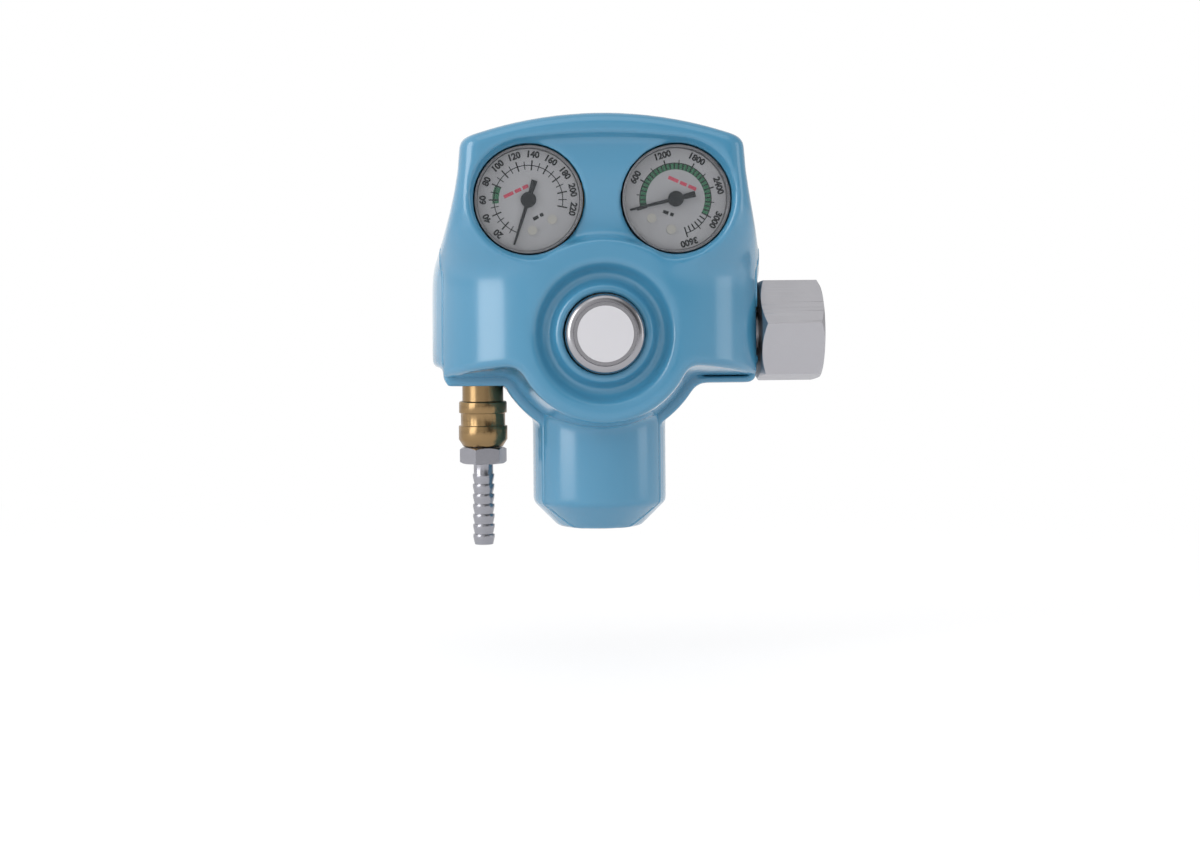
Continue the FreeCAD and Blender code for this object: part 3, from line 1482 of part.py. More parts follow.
def coupler_parts():
    """Sliding sleeve with its spring and clip, the seal ring and the four locking balls."""
    inside = D.coupler_neck_radius + D.sleeve_gap
    land = D.coupler_core_radius + D.sleeve_gap
    turned(
        "coupler_sleeve",
        [
            (D.relief_mouth_radius, -D.collar_bottom),
            (D.collar_mouth_radius, -D.collar_bottom),
            (D.collar_two_radius, -D.collar_two_bottom),
            (D.collar_two_radius, -D.collar_two_top),
            (D.collar_waist_radius, -D.collar_two_top),
            (D.collar_waist_radius, -D.collar_one_bottom),
            (D.collar_one_radius, -D.collar_one_bottom),
            (D.collar_one_radius, -D.collar_top - D.collar_edge),
            (D.collar_one_radius - D.collar_edge, -D.collar_top),
            (inside, -D.collar_top),
            (inside, -D.land_top),
            (land, -D.land_top),
            (land, -D.land_bottom),
            (D.relief_mouth_radius, -D.land_bottom),
        ],
        x=-D.outlet_offset,
    )
    length = D.land_top - D.coupler_neck_bottom
    wire, turns = D.collar_spring_wire, D.collar_spring_turns
    coil("sleeve_spring", D.collar_spring_radius, wire, length, turns, "z", x=-D.outlet_offset, z=-D.land_top)
    clip_hole = D.coupler_core_radius - D.clip_depth + D.fit_gap
    clip_low = D.fit_gap - D.clip_top - D.clip_thickness
    clip = box_path(clip_hole, D.clip_radius, clip_low, -D.clip_top - D.fit_gap)
    turned("sleeve_clip", clip, x=-D.outlet_offset)
    level = -(D.ring_groove_top + D.ring_groove_bottom) / 2
    radius = D.ring_groove_radius - D.coupler_ring_wire
    ring("coupler_o_ring", D.coupler_ring_wire, radius, "z", x=-D.outlet_offset, z=level)
    balls = []
    for east, north in ((1, 0), (0, 1), (-1, 0), (0, -1)):
        ball = DOC.addObject("Part::Sphere", "ball")
        bind(ball, "Radius", D.ball_radius)
        bind(ball, "Placement.Base.x", east * D.ball_circle)
        bind(ball, "Placement.Base.y", north * D.ball_circle)
        balls.append(ball)
    group = DOC.addObject("Part::Compound", "locking_balls")
    group.Label = "locking_balls"
    group.Links = balls
    bind(group, "Placement.Base.x", -D.outlet_offset - D.inlet_reach)
    bind(group, "Placement.Base.z", -D.ball_level)
    DOC.recompute()
    SUB_PARTS.append(group)


def hose_tail():
    """Male half of the quick coupling: probe with a ball groove, hexagon and a row of hose barbs."""
    groove = D.ball_circle - D.ball_radius - D.probe_fit
    upper, lower = D.ball_radius - D.ball_level, -D.ball_radius - D.ball_level
    bevel = D.probe_radius - groove
    nose = -D.probe_top - D.probe_nose_length
    path = [
        (D.tail_bore_radius, -D.tail_tip),
        (D.barb_root_radius, -D.tail_tip),
    ]
    for number in range(int(D.barb_count), 0, -1):
        top = -D.barb_start - (number - 1) * D.barb_pitch
        path += [(D.barb_radius, top - D.barb_land), (D.barb_radius, top), (D.barb_root_radius, top)]
    path[-1] = (D.tail_neck_radius, -D.barb_start)
    path += [
        (D.tail_neck_radius, -D.tail_hex_bottom),
        (D.probe_radius, -D.tail_hex_bottom),
        (D.probe_radius, lower - bevel),
        (groove, lower),
        (groove, upper),
        (D.probe_radius, upper + bevel),
        (D.probe_radius, nose),
        (D.probe_nose_radius, -D.probe_top),
        (D.tail_bore_radius, -D.probe_top),
    ]
    body = turned("hose_tail", path, x=-D.outlet_offset)
    body.Placement.Rotation = Rotation(Vector(0, 0, 1), float(D.tail_hex_turn))
    inner = circle_path(0, 0, D.barb_root_radius)
    hexagon = sketch_on(body, "XY", -D.tail_hex_bottom, hexagon_path(D.tail_hex), inner)
    grow(body, "Pad", hexagon, Length=D.tail_hex_bottom - D.tail_hex_top)
    bevel_hexagon(body, "z", D.tail_hex, -D.tail_hex_bottom, -D.tail_hex_top, D.tail_hex_rise)


def screws():
    """Both groups of screws, all driven from behind: cover to cover, and cover to the gauge bar."""
    bar_seat = D.bar_back + D.body_screw_seat
    seats = (
        ("cover_screws", cover_screw_circles, D.screw_seat_depth, -D.parting_depth, D.screw_engagement),
        ("body_screws", middle_screw_circles, bar_seat, D.bar_back, D.body_screw_engagement),
    )
    for name, circles, seat, mouth, engagement in seats:
        body = new_body(name)
        heads = sketch_on(body, "XZ", -seat, *circles(D.screw_head_radius))
        grow(body, "Pad", heads, Length=D.screw_head_height, Reversed=True)
        shanks = sketch_on(body, "XZ", -seat, *circles(D.screw_radius))
        grow(body, "Pad", shanks, Length=seat - mouth)
        threads = sketch_on(body, "XZ", -mouth, *circles(D.screw_pilot_radius - D.fit_gap))
        grow(body, "Pad", threads, Length=engagement)
        sockets = sketch_on(body, "XZ", -seat - D.screw_head_height, *circles(D.screw_socket_radius))
        grow(body, "Pocket", sockets, Length=D.screw_socket_depth, Reversed=True)


def middle_screw_circles(radius):
    """Circles at the two screws that hold the rear cover to the gauge bar."""
    return both_sides(D.body_screw_offset, D.gauge_height, radius)


def check_objects():
    """Stops on any object that failed, and on any sub-part without one valid shape."""
    for thing in DOC.Objects:
        if "Invalid" in thing.State or "Error" in thing.State:
            raise RuntimeError(f"{thing.Label}: {thing.State}")
    for part in SUB_PARTS:
        if part.Shape.isNull() or not part.Shape.isValid() or part.Shape.Volume < EPSILON:
            raise RuntimeError(f"{part.Label}: shape is not sound")


front_cover()
rear_cover()
regulator_body()
nozzle()
piston()
piston_parts()
bonnet()
inlet_nut()
inlet_parts()
centre_plug()
relief_valve()
gauge("contents", 1, D.contents_zero, D.contents_gap)
gauge("outlet", -1, D.outlet_zero, D.outlet_gap)
coupler_body()
coupler_parts()
hose_tail()
screws()
DOC.recompute()
check_objects()
os.makedirs("parts", exist_ok=True)
for sub_part in SUB_PARTS:
    sub_part.Shape.exportStep(f"parts/{sub_part.Label}.step")
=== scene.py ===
"""Oxygen regulator: finishes for every piece, smooth skins for both moulded covers, the printed dials
and a plain studio stage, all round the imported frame. Metres, with the front towards -Y."""

import json
import math
from collections import namedtuple

import bmesh
import bpy
import numpy as np
from bpy.props import BoolProperty, FloatProperty, FloatVectorProperty, IntProperty, PointerProperty
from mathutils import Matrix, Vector

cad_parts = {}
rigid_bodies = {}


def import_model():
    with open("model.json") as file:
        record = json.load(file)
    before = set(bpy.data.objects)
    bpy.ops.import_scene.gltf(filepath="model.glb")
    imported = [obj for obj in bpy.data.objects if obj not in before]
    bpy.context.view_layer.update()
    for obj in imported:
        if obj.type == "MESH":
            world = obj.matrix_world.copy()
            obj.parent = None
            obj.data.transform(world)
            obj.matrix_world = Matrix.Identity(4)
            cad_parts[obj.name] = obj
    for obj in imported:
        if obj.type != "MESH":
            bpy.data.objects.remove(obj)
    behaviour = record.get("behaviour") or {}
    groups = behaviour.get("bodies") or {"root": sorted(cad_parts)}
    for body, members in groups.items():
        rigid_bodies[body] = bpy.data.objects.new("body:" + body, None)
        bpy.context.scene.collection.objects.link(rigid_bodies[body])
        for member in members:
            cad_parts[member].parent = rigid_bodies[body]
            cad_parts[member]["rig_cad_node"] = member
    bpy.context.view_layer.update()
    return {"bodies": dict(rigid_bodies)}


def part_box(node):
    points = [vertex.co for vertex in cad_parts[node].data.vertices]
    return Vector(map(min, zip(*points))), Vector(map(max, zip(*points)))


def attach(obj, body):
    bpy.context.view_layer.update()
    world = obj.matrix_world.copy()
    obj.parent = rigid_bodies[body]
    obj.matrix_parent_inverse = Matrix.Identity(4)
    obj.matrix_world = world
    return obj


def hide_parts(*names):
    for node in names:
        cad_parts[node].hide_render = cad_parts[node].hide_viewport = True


bl_info = {
    "name": "Oxygen regulator",
    "version": (1, 0, 0),
    "blender": (4, 5, 0),
    "location": "View3D > Sidebar > Regulator",
    "description": "Finishes, dial print and studio stage for an oxygen regulator",
    "category": "Object",
}

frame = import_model()

MM = 0.001
SOCKETS = {
    "value": "NodeSocketFloat",
    "colour": "NodeSocketColor",
    "vector": "NodeSocketVector",
    "count": "NodeSocketInt",
    "material": "NodeSocketMaterial",
    "geometry": "NodeSocketGeometry",
}


def middle(node):
    """Centre of a node's box at rest."""
    low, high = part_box(node)
    return (low + high) / 2


COVER_X = middle("centre_plug").x
COUPLING_X = middle("coupler_body").x
DIALS = {side: middle(side + "_dial") for side in ("contents", "outlet")}


def new_object(name, data):
    """An object that stands in the scene."""
    made = bpy.data.objects.new(name, data)
    bpy.context.scene.collection.objects.link(made)
    return made


def linear(red, green, blue):
    """Linear colour from the 0 to 255 values of a display."""
    return tuple(
        share / 12.92 if share <= 0.04045 else ((share + 0.055) / 1.055) ** 2.4
        for share in (red / 255, green / 255, blue / 255)
    )


def shade(description, red, green, blue):
    """A colour with its default in the 0 to 255 values of a display."""
    default = linear(red, green, blue)
    return FloatVectorProperty(
        description=description, subtype="COLOR", size=3, min=0, max=1, default=default
    )


def extent(description, default):
    """A length in metres with the given default in millimetres."""
    return FloatProperty(description=description, default=default * MM, unit="LENGTH", precision=5)


def span(description, low, high):
    """Two lengths in metres with defaults in millimetres, between which something fades in or out."""
    default = (low * MM, high * MM)
    return FloatVectorProperty(
        description=description, size=2, default=default, unit="LENGTH", precision=5
    )


def bearing(description, default):
    """An angle with the given default in degrees."""
    return FloatProperty(description=description, default=math.radians(default), subtype="ANGLE")


def whole(description, default):
    return IntProperty(description=description, default=default, min=1)


def watts(description, default):
    return FloatProperty(description=description, default=default, unit="POWER", min=0)


def titled(group):
    """Names every setting of a group after its attribute."""
    for name, setting in group.__annotations__.items():
        setting.keywords["name"] = name.replace("_", " ").capitalize()
    return group


@titled
class RegulatorColours(bpy.types.PropertyGroup):
    """Base colours of the finishes."""

    cover: shade("Moulded cover plastic", 64, 129, 162)
    nickel: shade("Plated nut, nipple, screws and springs", 184, 183, 187)
    chrome: shade("Centre plug", 166, 165, 169)
    disc: shade("Pale disc in the plug", 192, 191, 195)
    coupling: shade("Machined brass of the quick coupling", 150, 124, 88)
    brass: shade("Plain brass inside", 201, 168, 105)
    steel: shade("Hose tail", 160, 160, 166)
    case: shade("Gauge cases", 128, 128, 131)
    dial_screw: shade("Domed screws in the dials", 165, 163, 157)
    rubber: shade("Rings and seals", 34, 34, 36)
    seat: shade("Valve seat and inlet washer", 226, 220, 204)
    sinter: shade("Inlet filter", 166, 128, 84)
    dial: shade("Dial plate", 162, 162, 165)
    ink: shade("Dial print and pointers", 12, 12, 14)
    green: shade("Working band on the dials", 40, 96, 66)
    red: shade("Plain bar on the dials", 168, 62, 80)


@titled
class DialSettings(bpy.types.PropertyGroup):
    """Sizes of the print on both dials."""

    lift: extent("Print in front of the dial plate", 0.02)
    ink_depth: extent("Thickness of the print", 0.03)
    line_width: extent("Width of a long tick", 0.46)
    fine_width: extent("Width of a short tick and of the scale's line", 0.3)
    arc_radius: extent("Line that crosses the outlet ticks", 11.3)
    tick_inner: extent("Inner end of the outlet ticks", 9.7)
    tick_outer: extent("Outer end of the long ticks", 13.0)
    number_radius: extent("Centre of the numbers", 14.85)
    number_size: extent("Height of the numbers' letters", 2.9)
    band_inner: extent("Inner edge of the green band", 9.7)
    band_outer: extent("Outer edge of the green band", 11.8)
    long_outer: extent("Outer end of the contents dial's long ticks", 13.2)
    middle_outer: extent("Outer end of the contents dial's middle ticks", 12.9)
    short_trim_inner: extent("Short outlet ticks start later by this", 0.2)
    short_trim_outer: extent("Short outlet ticks end sooner by this", 0.4)
    patch_rim: extent("Green patch beyond the line of the outlet dial", 0.5)
    outlet_start: bearing("Direction of the outlet dial's zero", 252.0)
    outlet_step: bearing("Turn between the outlet dial's numbers", 24.0)
    outlet_count: whole("Long ticks on the outlet dial", 12)
    outlet_unit: whole("Step between the outlet dial's numbers", 20)
    patch_start: bearing("First edge of the outlet dial's green patch", 186.0)
    patch_end: bearing("Last edge of the outlet dial's green patch", 156.0)
    contents_start: bearing("Direction of the contents dial's zero", 196.0)
    contents_step: bearing("Turn between the contents dial's numbers", 44.8)
    contents_count: whole("Long ticks on the contents dial", 7)
    contents_unit: whole("Step between the contents dial's numbers", 600)
    divisions: whole("Fine ticks for each number of the contents dial", 6)
    segments: IntProperty(description="Steps round a full dial arc", default=96, min=12)


@titled
class StageSettings(bpy.types.PropertyGroup):
    """Camera, floor and light."""

    distance: extent("Camera to the object", 750)
    azimuth: bearing("Camera's turn round the object", -3.0)
    roll: bearing("Camera's lean about its own line of sight", 0.5)
    camera_height: extent("Camera above the inlet axis", 11.0)
    aim: extent("Sideways from the cover's middle to the point that the lens faces", -7.8)
    lens: FloatProperty(description="Focal length", default=66.2, unit="CAMERA")
    shift_x: FloatProperty(description="Sideways shift of the picture", default=0.0208)
    shift_y: FloatProperty(description="Upward shift of the picture", default=-0.107)
    floor_height: extent("Floor under the hose tail", -112.0)
    left_power: watts("Broad soft light on the left", 4.7)
    top_power: watts("Wide soft light above", 1.0)
    right_power: watts("Wide soft light on the right", 0.9)
    front_power: watts("Soft light behind the camera", 0.6)
    world_strength: FloatProperty(description="Light of the room on the object", default=1.0, min=0)
    show_floor: BoolProperty(description="Make the floor", default=True)


# Node building


def place(tree, kind, **settings):
    """Adds a node. Names that match a socket set its value, and the rest are the node's own settings."""
    node = tree.nodes.new(kind)
    for name, value in settings.items():
        if hasattr(node, name) and name not in node.inputs:
            setattr(node, name, value)
        else:
            node.inputs[name].default_value = value
    return node


def fill(node, values):
    """Sets a node's sockets by name."""
    for name, value in values.items():
        node.inputs[name].default_value = value


def link(tree, *routes):
    """Joins sockets. Each route is an output, a node and the name or number of the node's input."""
    for output, node, name in routes:
        tree.links.new(output, node.inputs[name])


def math_node(tree, operation, first, second=None, third=None):
    """One maths node whose inputs are sockets or plain numbers."""
    node = tree.nodes.new("ShaderNodeMath")
    node.operation = operation
    for socket, value in zip(node.inputs, (first, second, third)):
        if value is None:
            continue
        if isinstance(value, bpy.types.NodeSocket):
            tree.links.new(value, socket)
        else:
            socket.default_value = value
    return node.outputs[0]


def node_group(tree_kind, name, inputs, outputs):
    """A node group with named inputs and outputs. Inputs give (kind, name, default)."""
    group = bpy.data.node_groups.new(name, tree_kind)
    for kind, title, default in inputs:
        socket = group.interface.new_socket(title, in_out="INPUT", socket_type=SOCKETS[kind])
        if default is not None:
            socket.default_value = default
    for kind, title in outputs:
        group.interface.new_socket(title, in_out="OUTPUT", socket_type=SOCKETS[kind])
    return group, group.nodes.new("NodeGroupInput").outputs, group.nodes.new("NodeGroupOutput")


def grain_group():
    """Slow colour drift, uneven gloss and a fine moulded or cast surface."""
    group, given, result = node_group(
        "ShaderNodeTree",
        "Surface grain",
        [
            ("colour", "Colour", (0.5, 0.5, 0.5, 1)),
            ("value", "Roughness", 0.3),
            ("value", "Drift", 0.04),
            ("value", "Gloss spread", 0.05),
            ("value", "Grain size", 0.6),
        ],
        [("colour", "Colour"), ("value", "Roughness"), ("value", "Height")],
    )
    places = group.nodes.new("ShaderNodeTexCoord").outputs["Object"]
    slow = place(group, "ShaderNodeTexNoise", Scale=45.0, Detail=2.0)
    patches = place(group, "ShaderNodeTexNoise", Scale=160.0, Detail=4.0)
    fine = place(group, "ShaderNodeTexNoise", Detail=1.0)
    for texture in (slow, patches, fine):
        link(group, (places, texture, "Vector"))
    scale = math_node(group, "DIVIDE", 1 / MM, given["Grain size"])
    swing = math_node(group, "SUBTRACT", slow.outputs["Fac"], 0.5)
    value = math_node(group, "MULTIPLY_ADD", swing, given["Drift"], 1.0)
    tint = place(group, "ShaderNodeHueSaturation")
    swing = math_node(group, "SUBTRACT", patches.outputs["Fac"], 0.5)
    spread, roughness = given["Gloss spread"], given["Roughness"]
    link(
        group,
        (scale, fine, "Scale"),
        (given["Colour"], tint, "Color"),
        (value, tint, "Value"),
        (tint.outputs["Color"], result, "Colour"),
        (math_node(group, "MULTIPLY_ADD", swing, spread, roughness), result, "Roughness"),
        (fine.outputs["Fac"], result, "Height"),
    )
    return group


def lathe_group():
    """Fine turning marks along an axis, and a coarse thread inside one radius."""
    group, given, result = node_group(
        "ShaderNodeTree",
        "Turning marks",
        [
            ("vector", "Axis", (0, 0, 1)),
            ("vector", "Centre", (0, 0, 0)),
            ("value", "Pitch", 0.00025),
            ("value", "Thread pitch", 0.0018),
            ("value", "Thread low", 0.0),
            ("value", "Thread high", 0.0),
        ],
        [("value", "Height"), ("value", "Thread")],
    )
    places = group.nodes.new("ShaderNodeTexCoord").outputs["Object"]
    offset = place(group, "ShaderNodeVectorMath", operation="SUBTRACT")
    along = place(group, "ShaderNodeVectorMath", operation="DOT_PRODUCT")
    marks = place(group, "ShaderNodeTexNoise", noise_dimensions="1D", Scale=1.0, Detail=2.0)
    across = place(group, "ShaderNodeVectorMath", operation="CROSS_PRODUCT")
    length = place(group, "ShaderNodeVectorMath", operation="LENGTH")
    level, radius = along.outputs["Value"], length.outputs["Value"]
    above = math_node(group, "GREATER_THAN", radius, given["Thread low"])
    below = math_node(group, "LESS_THAN", radius, given["Thread high"])
    pitches = math_node(group, "DIVIDE", level, given["Thread pitch"])
    ridges = math_node(group, "MULTIPLY", math_node(group, "PINGPONG", pitches, 0.5), 2.0)
    within = math_node(group, "MULTIPLY", above, below)
    link(
        group,
        (places, offset, 0),
        (given["Centre"], offset, 1),
        (offset.outputs["Vector"], along, 0),
        (given["Axis"], along, 1),
        (offset.outputs["Vector"], across, 0),
        (given["Axis"], across, 1),
        (across.outputs["Vector"], length, 0),
        (math_node(group, "DIVIDE", level, given["Pitch"]), marks, "W"),
        (marks.outputs["Fac"], result, "Height"),
        (math_node(group, "MULTIPLY", ridges, within), result, "Thread"),
    )
    return group


EFFECTS = {"grain": grain_group, "lathe": lathe_group}
COAT_ROUGHNESS = 0.15
GRAIN_RELIEF = 0.1 * MM
TURNING_RELIEF = 0.02 * MM
THREAD_RELIEF = 0.5 * MM
Thread = namedtuple("Thread", "low high pitch")
INLET_THREAD = Thread(low=11.8 * MM, high=12.4 * MM, pitch=1.81 * MM)


def effect(tree, name):
    """An instance of one shared effect group, made on first use."""
    made = bpy.data.node_groups.get(name)
    if made is None:
        made = EFFECTS[name]()
        made.name = name
    node = tree.nodes.new("ShaderNodeGroup")
    node.node_tree = made
    return node


def finish(
    name, colour, metallic=0.0, roughness=0.3, coat=0.0, drift=0.04, spread=0.05, grain=0.6, bump=0.02
):
    """One procedural material: drifting colour, uneven gloss and fine grain on a plain shader."""
    material = bpy.data.materials.new(name)
    material.use_nodes = True
    tree = material.node_tree
    shader = tree.nodes["Principled BSDF"]
    fill(shader, {"Metallic": metallic, "Coat Weight": coat, "Coat Roughness": COAT_ROUGHNESS})
    surface = effect(tree, "grain")
    fill(surface, {"Colour": (*colour, 1), "Roughness": roughness, "Drift": drift})
    fill(surface, {"Gloss spread": spread, "Grain size": grain})
    relief = place(tree, "ShaderNodeBump", Strength=bump, Distance=GRAIN_RELIEF)
    link(
        tree,
        (surface.outputs["Colour"], shader, "Base Color"),
        (surface.outputs["Roughness"], shader, "Roughness"),
        (surface.outputs["Height"], relief, "Height"),
        (relief.outputs["Normal"], shader, "Normal"),
    )
    material.diffuse_color = (*colour, 1)
    return material


def add_relief(material, height, strength, distance):
    """Puts one more layer of relief over a finish."""
    tree = material.node_tree
    shader = tree.nodes["Principled BSDF"]
    before = shader.inputs["Normal"].links[0].from_socket
    relief = place(tree, "ShaderNodeBump", Strength=strength, Distance=distance)
    link(
        tree,
        (before, relief, "Normal"),
        (height, relief, "Height"),
        (relief.outputs["Normal"], shader, "Normal"),
    )


def lathe_finish(name, colour, axis, centre, strength=0.25, thread=None, **settings):
    """A turned metal finish with marks along its own axis and, inside one radius, a thread."""
    material = finish(name, colour, metallic=1.0, **settings)
    marks = effect(material.node_tree, "lathe")
    fill(marks, {"Axis": axis, "Centre": centre})
    add_relief(material, marks.outputs["Height"], strength, TURNING_RELIEF)
    if thread:
        fill(marks, {f"Thread {name}": value for name, value in thread._asdict().items()})
        add_relief(material, marks.outputs["Thread"], 1.0, THREAD_RELIEF)
    return material


def lens_finish():
    """Clear moulded lens, nearly invisible face on."""
    material = finish("clear lens", (0.35, 0.38, 0.4), roughness=0.04, spread=0.02, bump=0.0)
    material.node_tree.nodes["Principled BSDF"].inputs["Alpha"].default_value = 0.05
    return material


def ink_finish(name, colour):
    """Flat print with hardly any shine."""
    material = finish(name, colour, roughness=0.6, grain=0.2, bump=0.0)
    material.node_tree.nodes["Principled BSDF"].inputs["Specular IOR Level"].default_value = 0.15
    return material


def cover_finishes(colours):
    """Moulded cover, plated metals and the quick coupling."""
    across, forward, upwards = (1, 0, 0), (0, 1, 0), (0, 0, 1)
    inlet, plug, coupling = (0, 0, 0), (COVER_X, 0, 0), (COUPLING_X, 0, 0)
    finish("cover plastic", colours.cover, roughness=0.22, coat=0.8, drift=0.05, grain=1.4, bump=0.03)
    lathe_finish("nut nickel", colours.nickel, across, inlet, 0.15, INLET_THREAD, roughness=0.42, spread=0.1)
    lathe_finish("nipple nickel", colours.nickel, across, inlet, roughness=0.3)
    lathe_finish("plug chrome", colours.chrome, forward, plug, 0.1, roughness=0.2)
    finish("plug disc", colours.disc, roughness=0.5, grain=0.4)
    lathe_finish("coupling brass", colours.coupling, upwards, coupling, 0.3, roughness=0.24)
    lathe_finish("tail steel", colours.steel, upwards, coupling, 0.3, roughness=0.26)


def inner_finishes(colours):
    """What the covers hide."""
    finish("cast brass", colours.brass, metallic=1.0, roughness=0.4, spread=0.15, grain=0.3, bump=0.2)
    finish("bright steel", colours.nickel, metallic=0.9, roughness=0.34, grain=0.2, bump=0.05)
    finish("ring rubber", colours.rubber, roughness=0.65, grain=0.3, bump=0.1)
    finish("seat polymer", colours.seat, roughness=0.45, grain=0.4)
    finish("sintered brass", colours.sinter, metallic=0.8, roughness=0.6, grain=0.25, bump=0.9)


def gauge_finishes(colours):
    """Gauge cases, lenses, dials and their print."""
    finish("dial screw", colours.dial_screw, metallic=0.5, roughness=0.3, grain=0.2)
    finish("gauge case", colours.case, metallic=0.8, roughness=0.4, grain=0.5, bump=0.05)
    finish("dial plate", colours.dial, metallic=0.6, roughness=0.42, drift=0.35, grain=0.15, bump=0.05)
    lens_finish()
    ink_finish("dial ink", colours.ink)
    ink_finish("green ink", colours.green)
    ink_finish("red ink", colours.red)


def both(part):
    """A node's names on the two gauges."""
    return "contents_" + part, "outlet_" + part


NODE_FINISHES = {
    "cover plastic": ("front_cover", "rear_cover"),
    "nut nickel": ("inlet_nut",),
    "nipple nickel": ("inlet_nipple",),
    "plug chrome": ("centre_plug",),
    "plug disc": ("plug_disc",),
    "coupling brass": ("coupler_body", "coupler_sleeve"),
    "tail steel": ("hose_tail",),
    "cast brass": (
        *("regulator_body", "nozzle", "piston", "bonnet", "relief_valve_body", "relief_poppet"),
        *both("gauge_socket"),
        *both("gauge_movement"),
        *both("bourdon_tube"),
    ),
    "bright steel": (
        *("main_spring", "relief_spring", "sleeve_spring", "sleeve_clip"),
        *("locking_balls", "cover_screws", "body_screws"),
    ),
    "dial screw": both("dial_screws"),
    "gauge case": both("gauge_case"),
    "clear lens": both("gauge_lens"),
    "dial plate": both("dial"),
    "dial ink": both("pointer"),
    "ring rubber": (
        *("piston_o_ring", "stem_o_ring", "plug_o_ring", "coupler_o_ring"),
        *both("gauge_seal"),
    ),
    "seat polymer": ("valve_seat", "inlet_washer"),
    "sintered brass": ("inlet_filter",),
}
SWELL = dict.fromkeys(both("pointer"), 0.22 * MM)
SOFT_EDGES = {
    "inlet_nut": 0.35 * MM,
    "hose_tail": 0.12 * MM,
    "coupler_sleeve": 0.2 * MM,
    **dict.fromkeys(both("gauge_case"), 0.15 * MM),
    **dict.fromkeys(both("dial_screws"), 0.35 * MM),
}
EDGE_ANGLE = math.radians(35)
TOUCHING = 0.001 * MM


def soften():
    """Fuller pointers and small bevels on worked edges, as modifiers over the frame's own meshes."""
    for node in (*SOFT_EDGES, *SWELL):
        weld = bpy.data.objects[node].modifiers.new("joined corners", "WELD")
        weld.merge_threshold = TOUCHING
    for node, width in SWELL.items():
        swell = bpy.data.objects[node].modifiers.new("bold pointer", "DISPLACE")
        swell.strength = width
        swell.mid_level = 0
    for node, width in SOFT_EDGES.items():
        edge = bpy.data.objects[node].modifiers.new("soft edges", "BEVEL")
        edge.width = width
        edge.segments = 2
        edge.angle_limit = EDGE_ANGLE
        edge.use_clamp_overlap = True
        edge.harden_normals = True


class REGULATOR_OT_finishes(bpy.types.Operator):
    """Give every frame piece its procedural material"""

    bl_idname = "regulator.finishes"
    bl_label = "Apply finishes"

    def execute(self, context):
        colours = context.scene.regulator_colours
        cover_finishes(colours)
        inner_finishes(colours)
        gauge_finishes(colours)
        given = set()
        for name, nodes in NODE_FINISHES.items():
            for node in nodes:
                shown = bpy.data.objects[node]
                shown.data.materials.clear()
                shown.data.materials.append(bpy.data.materials[name])
                given.add(node)
        missing = {thing.name for thing in bpy.data.objects if "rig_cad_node" in thing} - given
        if missing:
            raise RuntimeError(f"no finish for {sorted(missing)}")
        soften()
        return {"FINISHED"}


# Cover skin


@titled
class SkinSettings(bpy.types.PropertyGroup):
    """How far the moulded covers' edges and bends flow into each other."""

    voxel: extent("Grid of the front cover's smooth skin", 0.75)
    rear_voxel: extent("Grid of the rear cover's smooth skin", 0.81)
    parting: extent("Level of the joint between both covers", -11.0)
    lock: extent("Depth by the joint that stays as it is", 1.6)
    rounds: whole("Smoothing passes over the whole skin", 5)
    shoulder_rounds: whole("Smoothing passes over the shoulder", 90)
    shoulder: extent("Height of the shoulder above the inlet axis", 20.7)
    shoulder_reach: extent("Half height of the softened shoulder", 9.0)
    dish_clear: span("Radii where the shoulder's smoothing fades in", 26.0, 34.0)
    gauge_clear: span("The same round each gauge", 20.0, 24.0)
    plug_gap: extent("Gap left between the lip and the plug", 0.3)
    lip_search: extent("The dish's lip lies within this of the plug", 2.0)
    lip_fade: span("How far out the pulled-in lip fades, from its edge", 0.6, 3.4)
    overlap: extent("Reach of the rear skin into the front one", 0.5)
    apron_inner: extent("Inner radius of the strip that closes the joint", 32.2)
    apron_outer: extent("Outer radius of the strip that closes the joint", 36.2)
    apron_start: bearing("Upper end of that strip, below the level", 22.0)
    apron_end: bearing("Lower end of that strip, below the level", 62.0)
    lip_reach: extent("Half width of the lip in front of the coupling", 12.0)
    lip_wall: extent("Thickness of the lip", 2.8)
    lip_bottom: extent("Lower edge of the lip", -17.6)
    lip_top: extent("Upper edge of the lip, inside the cover", -12.5)
    valley: extent("Extra depth between the gauges, above the dome", 2.2)
    valley_top: extent("Height where the valley starts to fall back", 56.0)
    valley_bottom: extent("Height where the valley is deepest", 34.5)
    valley_dome: span("Radii above the dome where the valley starts", 30.2, 32.4)
    valley_side: span("Distances aside where the valley ends", 9.0, 17.0)
    face_depth: extent("Depth of the front face that the valley may move", 6.0)


def evaluated_mesh(holder):
    """The finished mesh of an object with modifiers or of a text, in place of the object."""
    bpy.context.view_layer.update()
    graph = bpy.context.evaluated_depsgraph_get()
    mesh = bpy.data.meshes.new_from_object(holder.evaluated_get(graph))
    bpy.data.objects.remove(holder)
    return mesh


def smooth_step(value, low, high):
    """Zero below the first bound, one above the second, with a soft rise between them."""
    share = np.clip((value - low) / (high - low), 0, 1)
    return share * share * (3 - 2 * share)


def relaxed(points, edges, weight, rounds):
    """Moves each point towards the middle of its neighbours, by its own weight."""
    first, second = edges[:, 0], edges[:, 1]
    count = np.bincount(first, minlength=len(points)) + np.bincount(second, minlength=len(points))
    for _ in range(rounds):
        total = np.empty_like(points)
        for axis in range(3):
            column = points[:, axis]
            total[:, axis] = np.bincount(first, column[second], len(points))
            total[:, axis] += np.bincount(second, column[first], len(points))
        points = points + weight[:, None] * (total / count[:, None] - points)
    return points


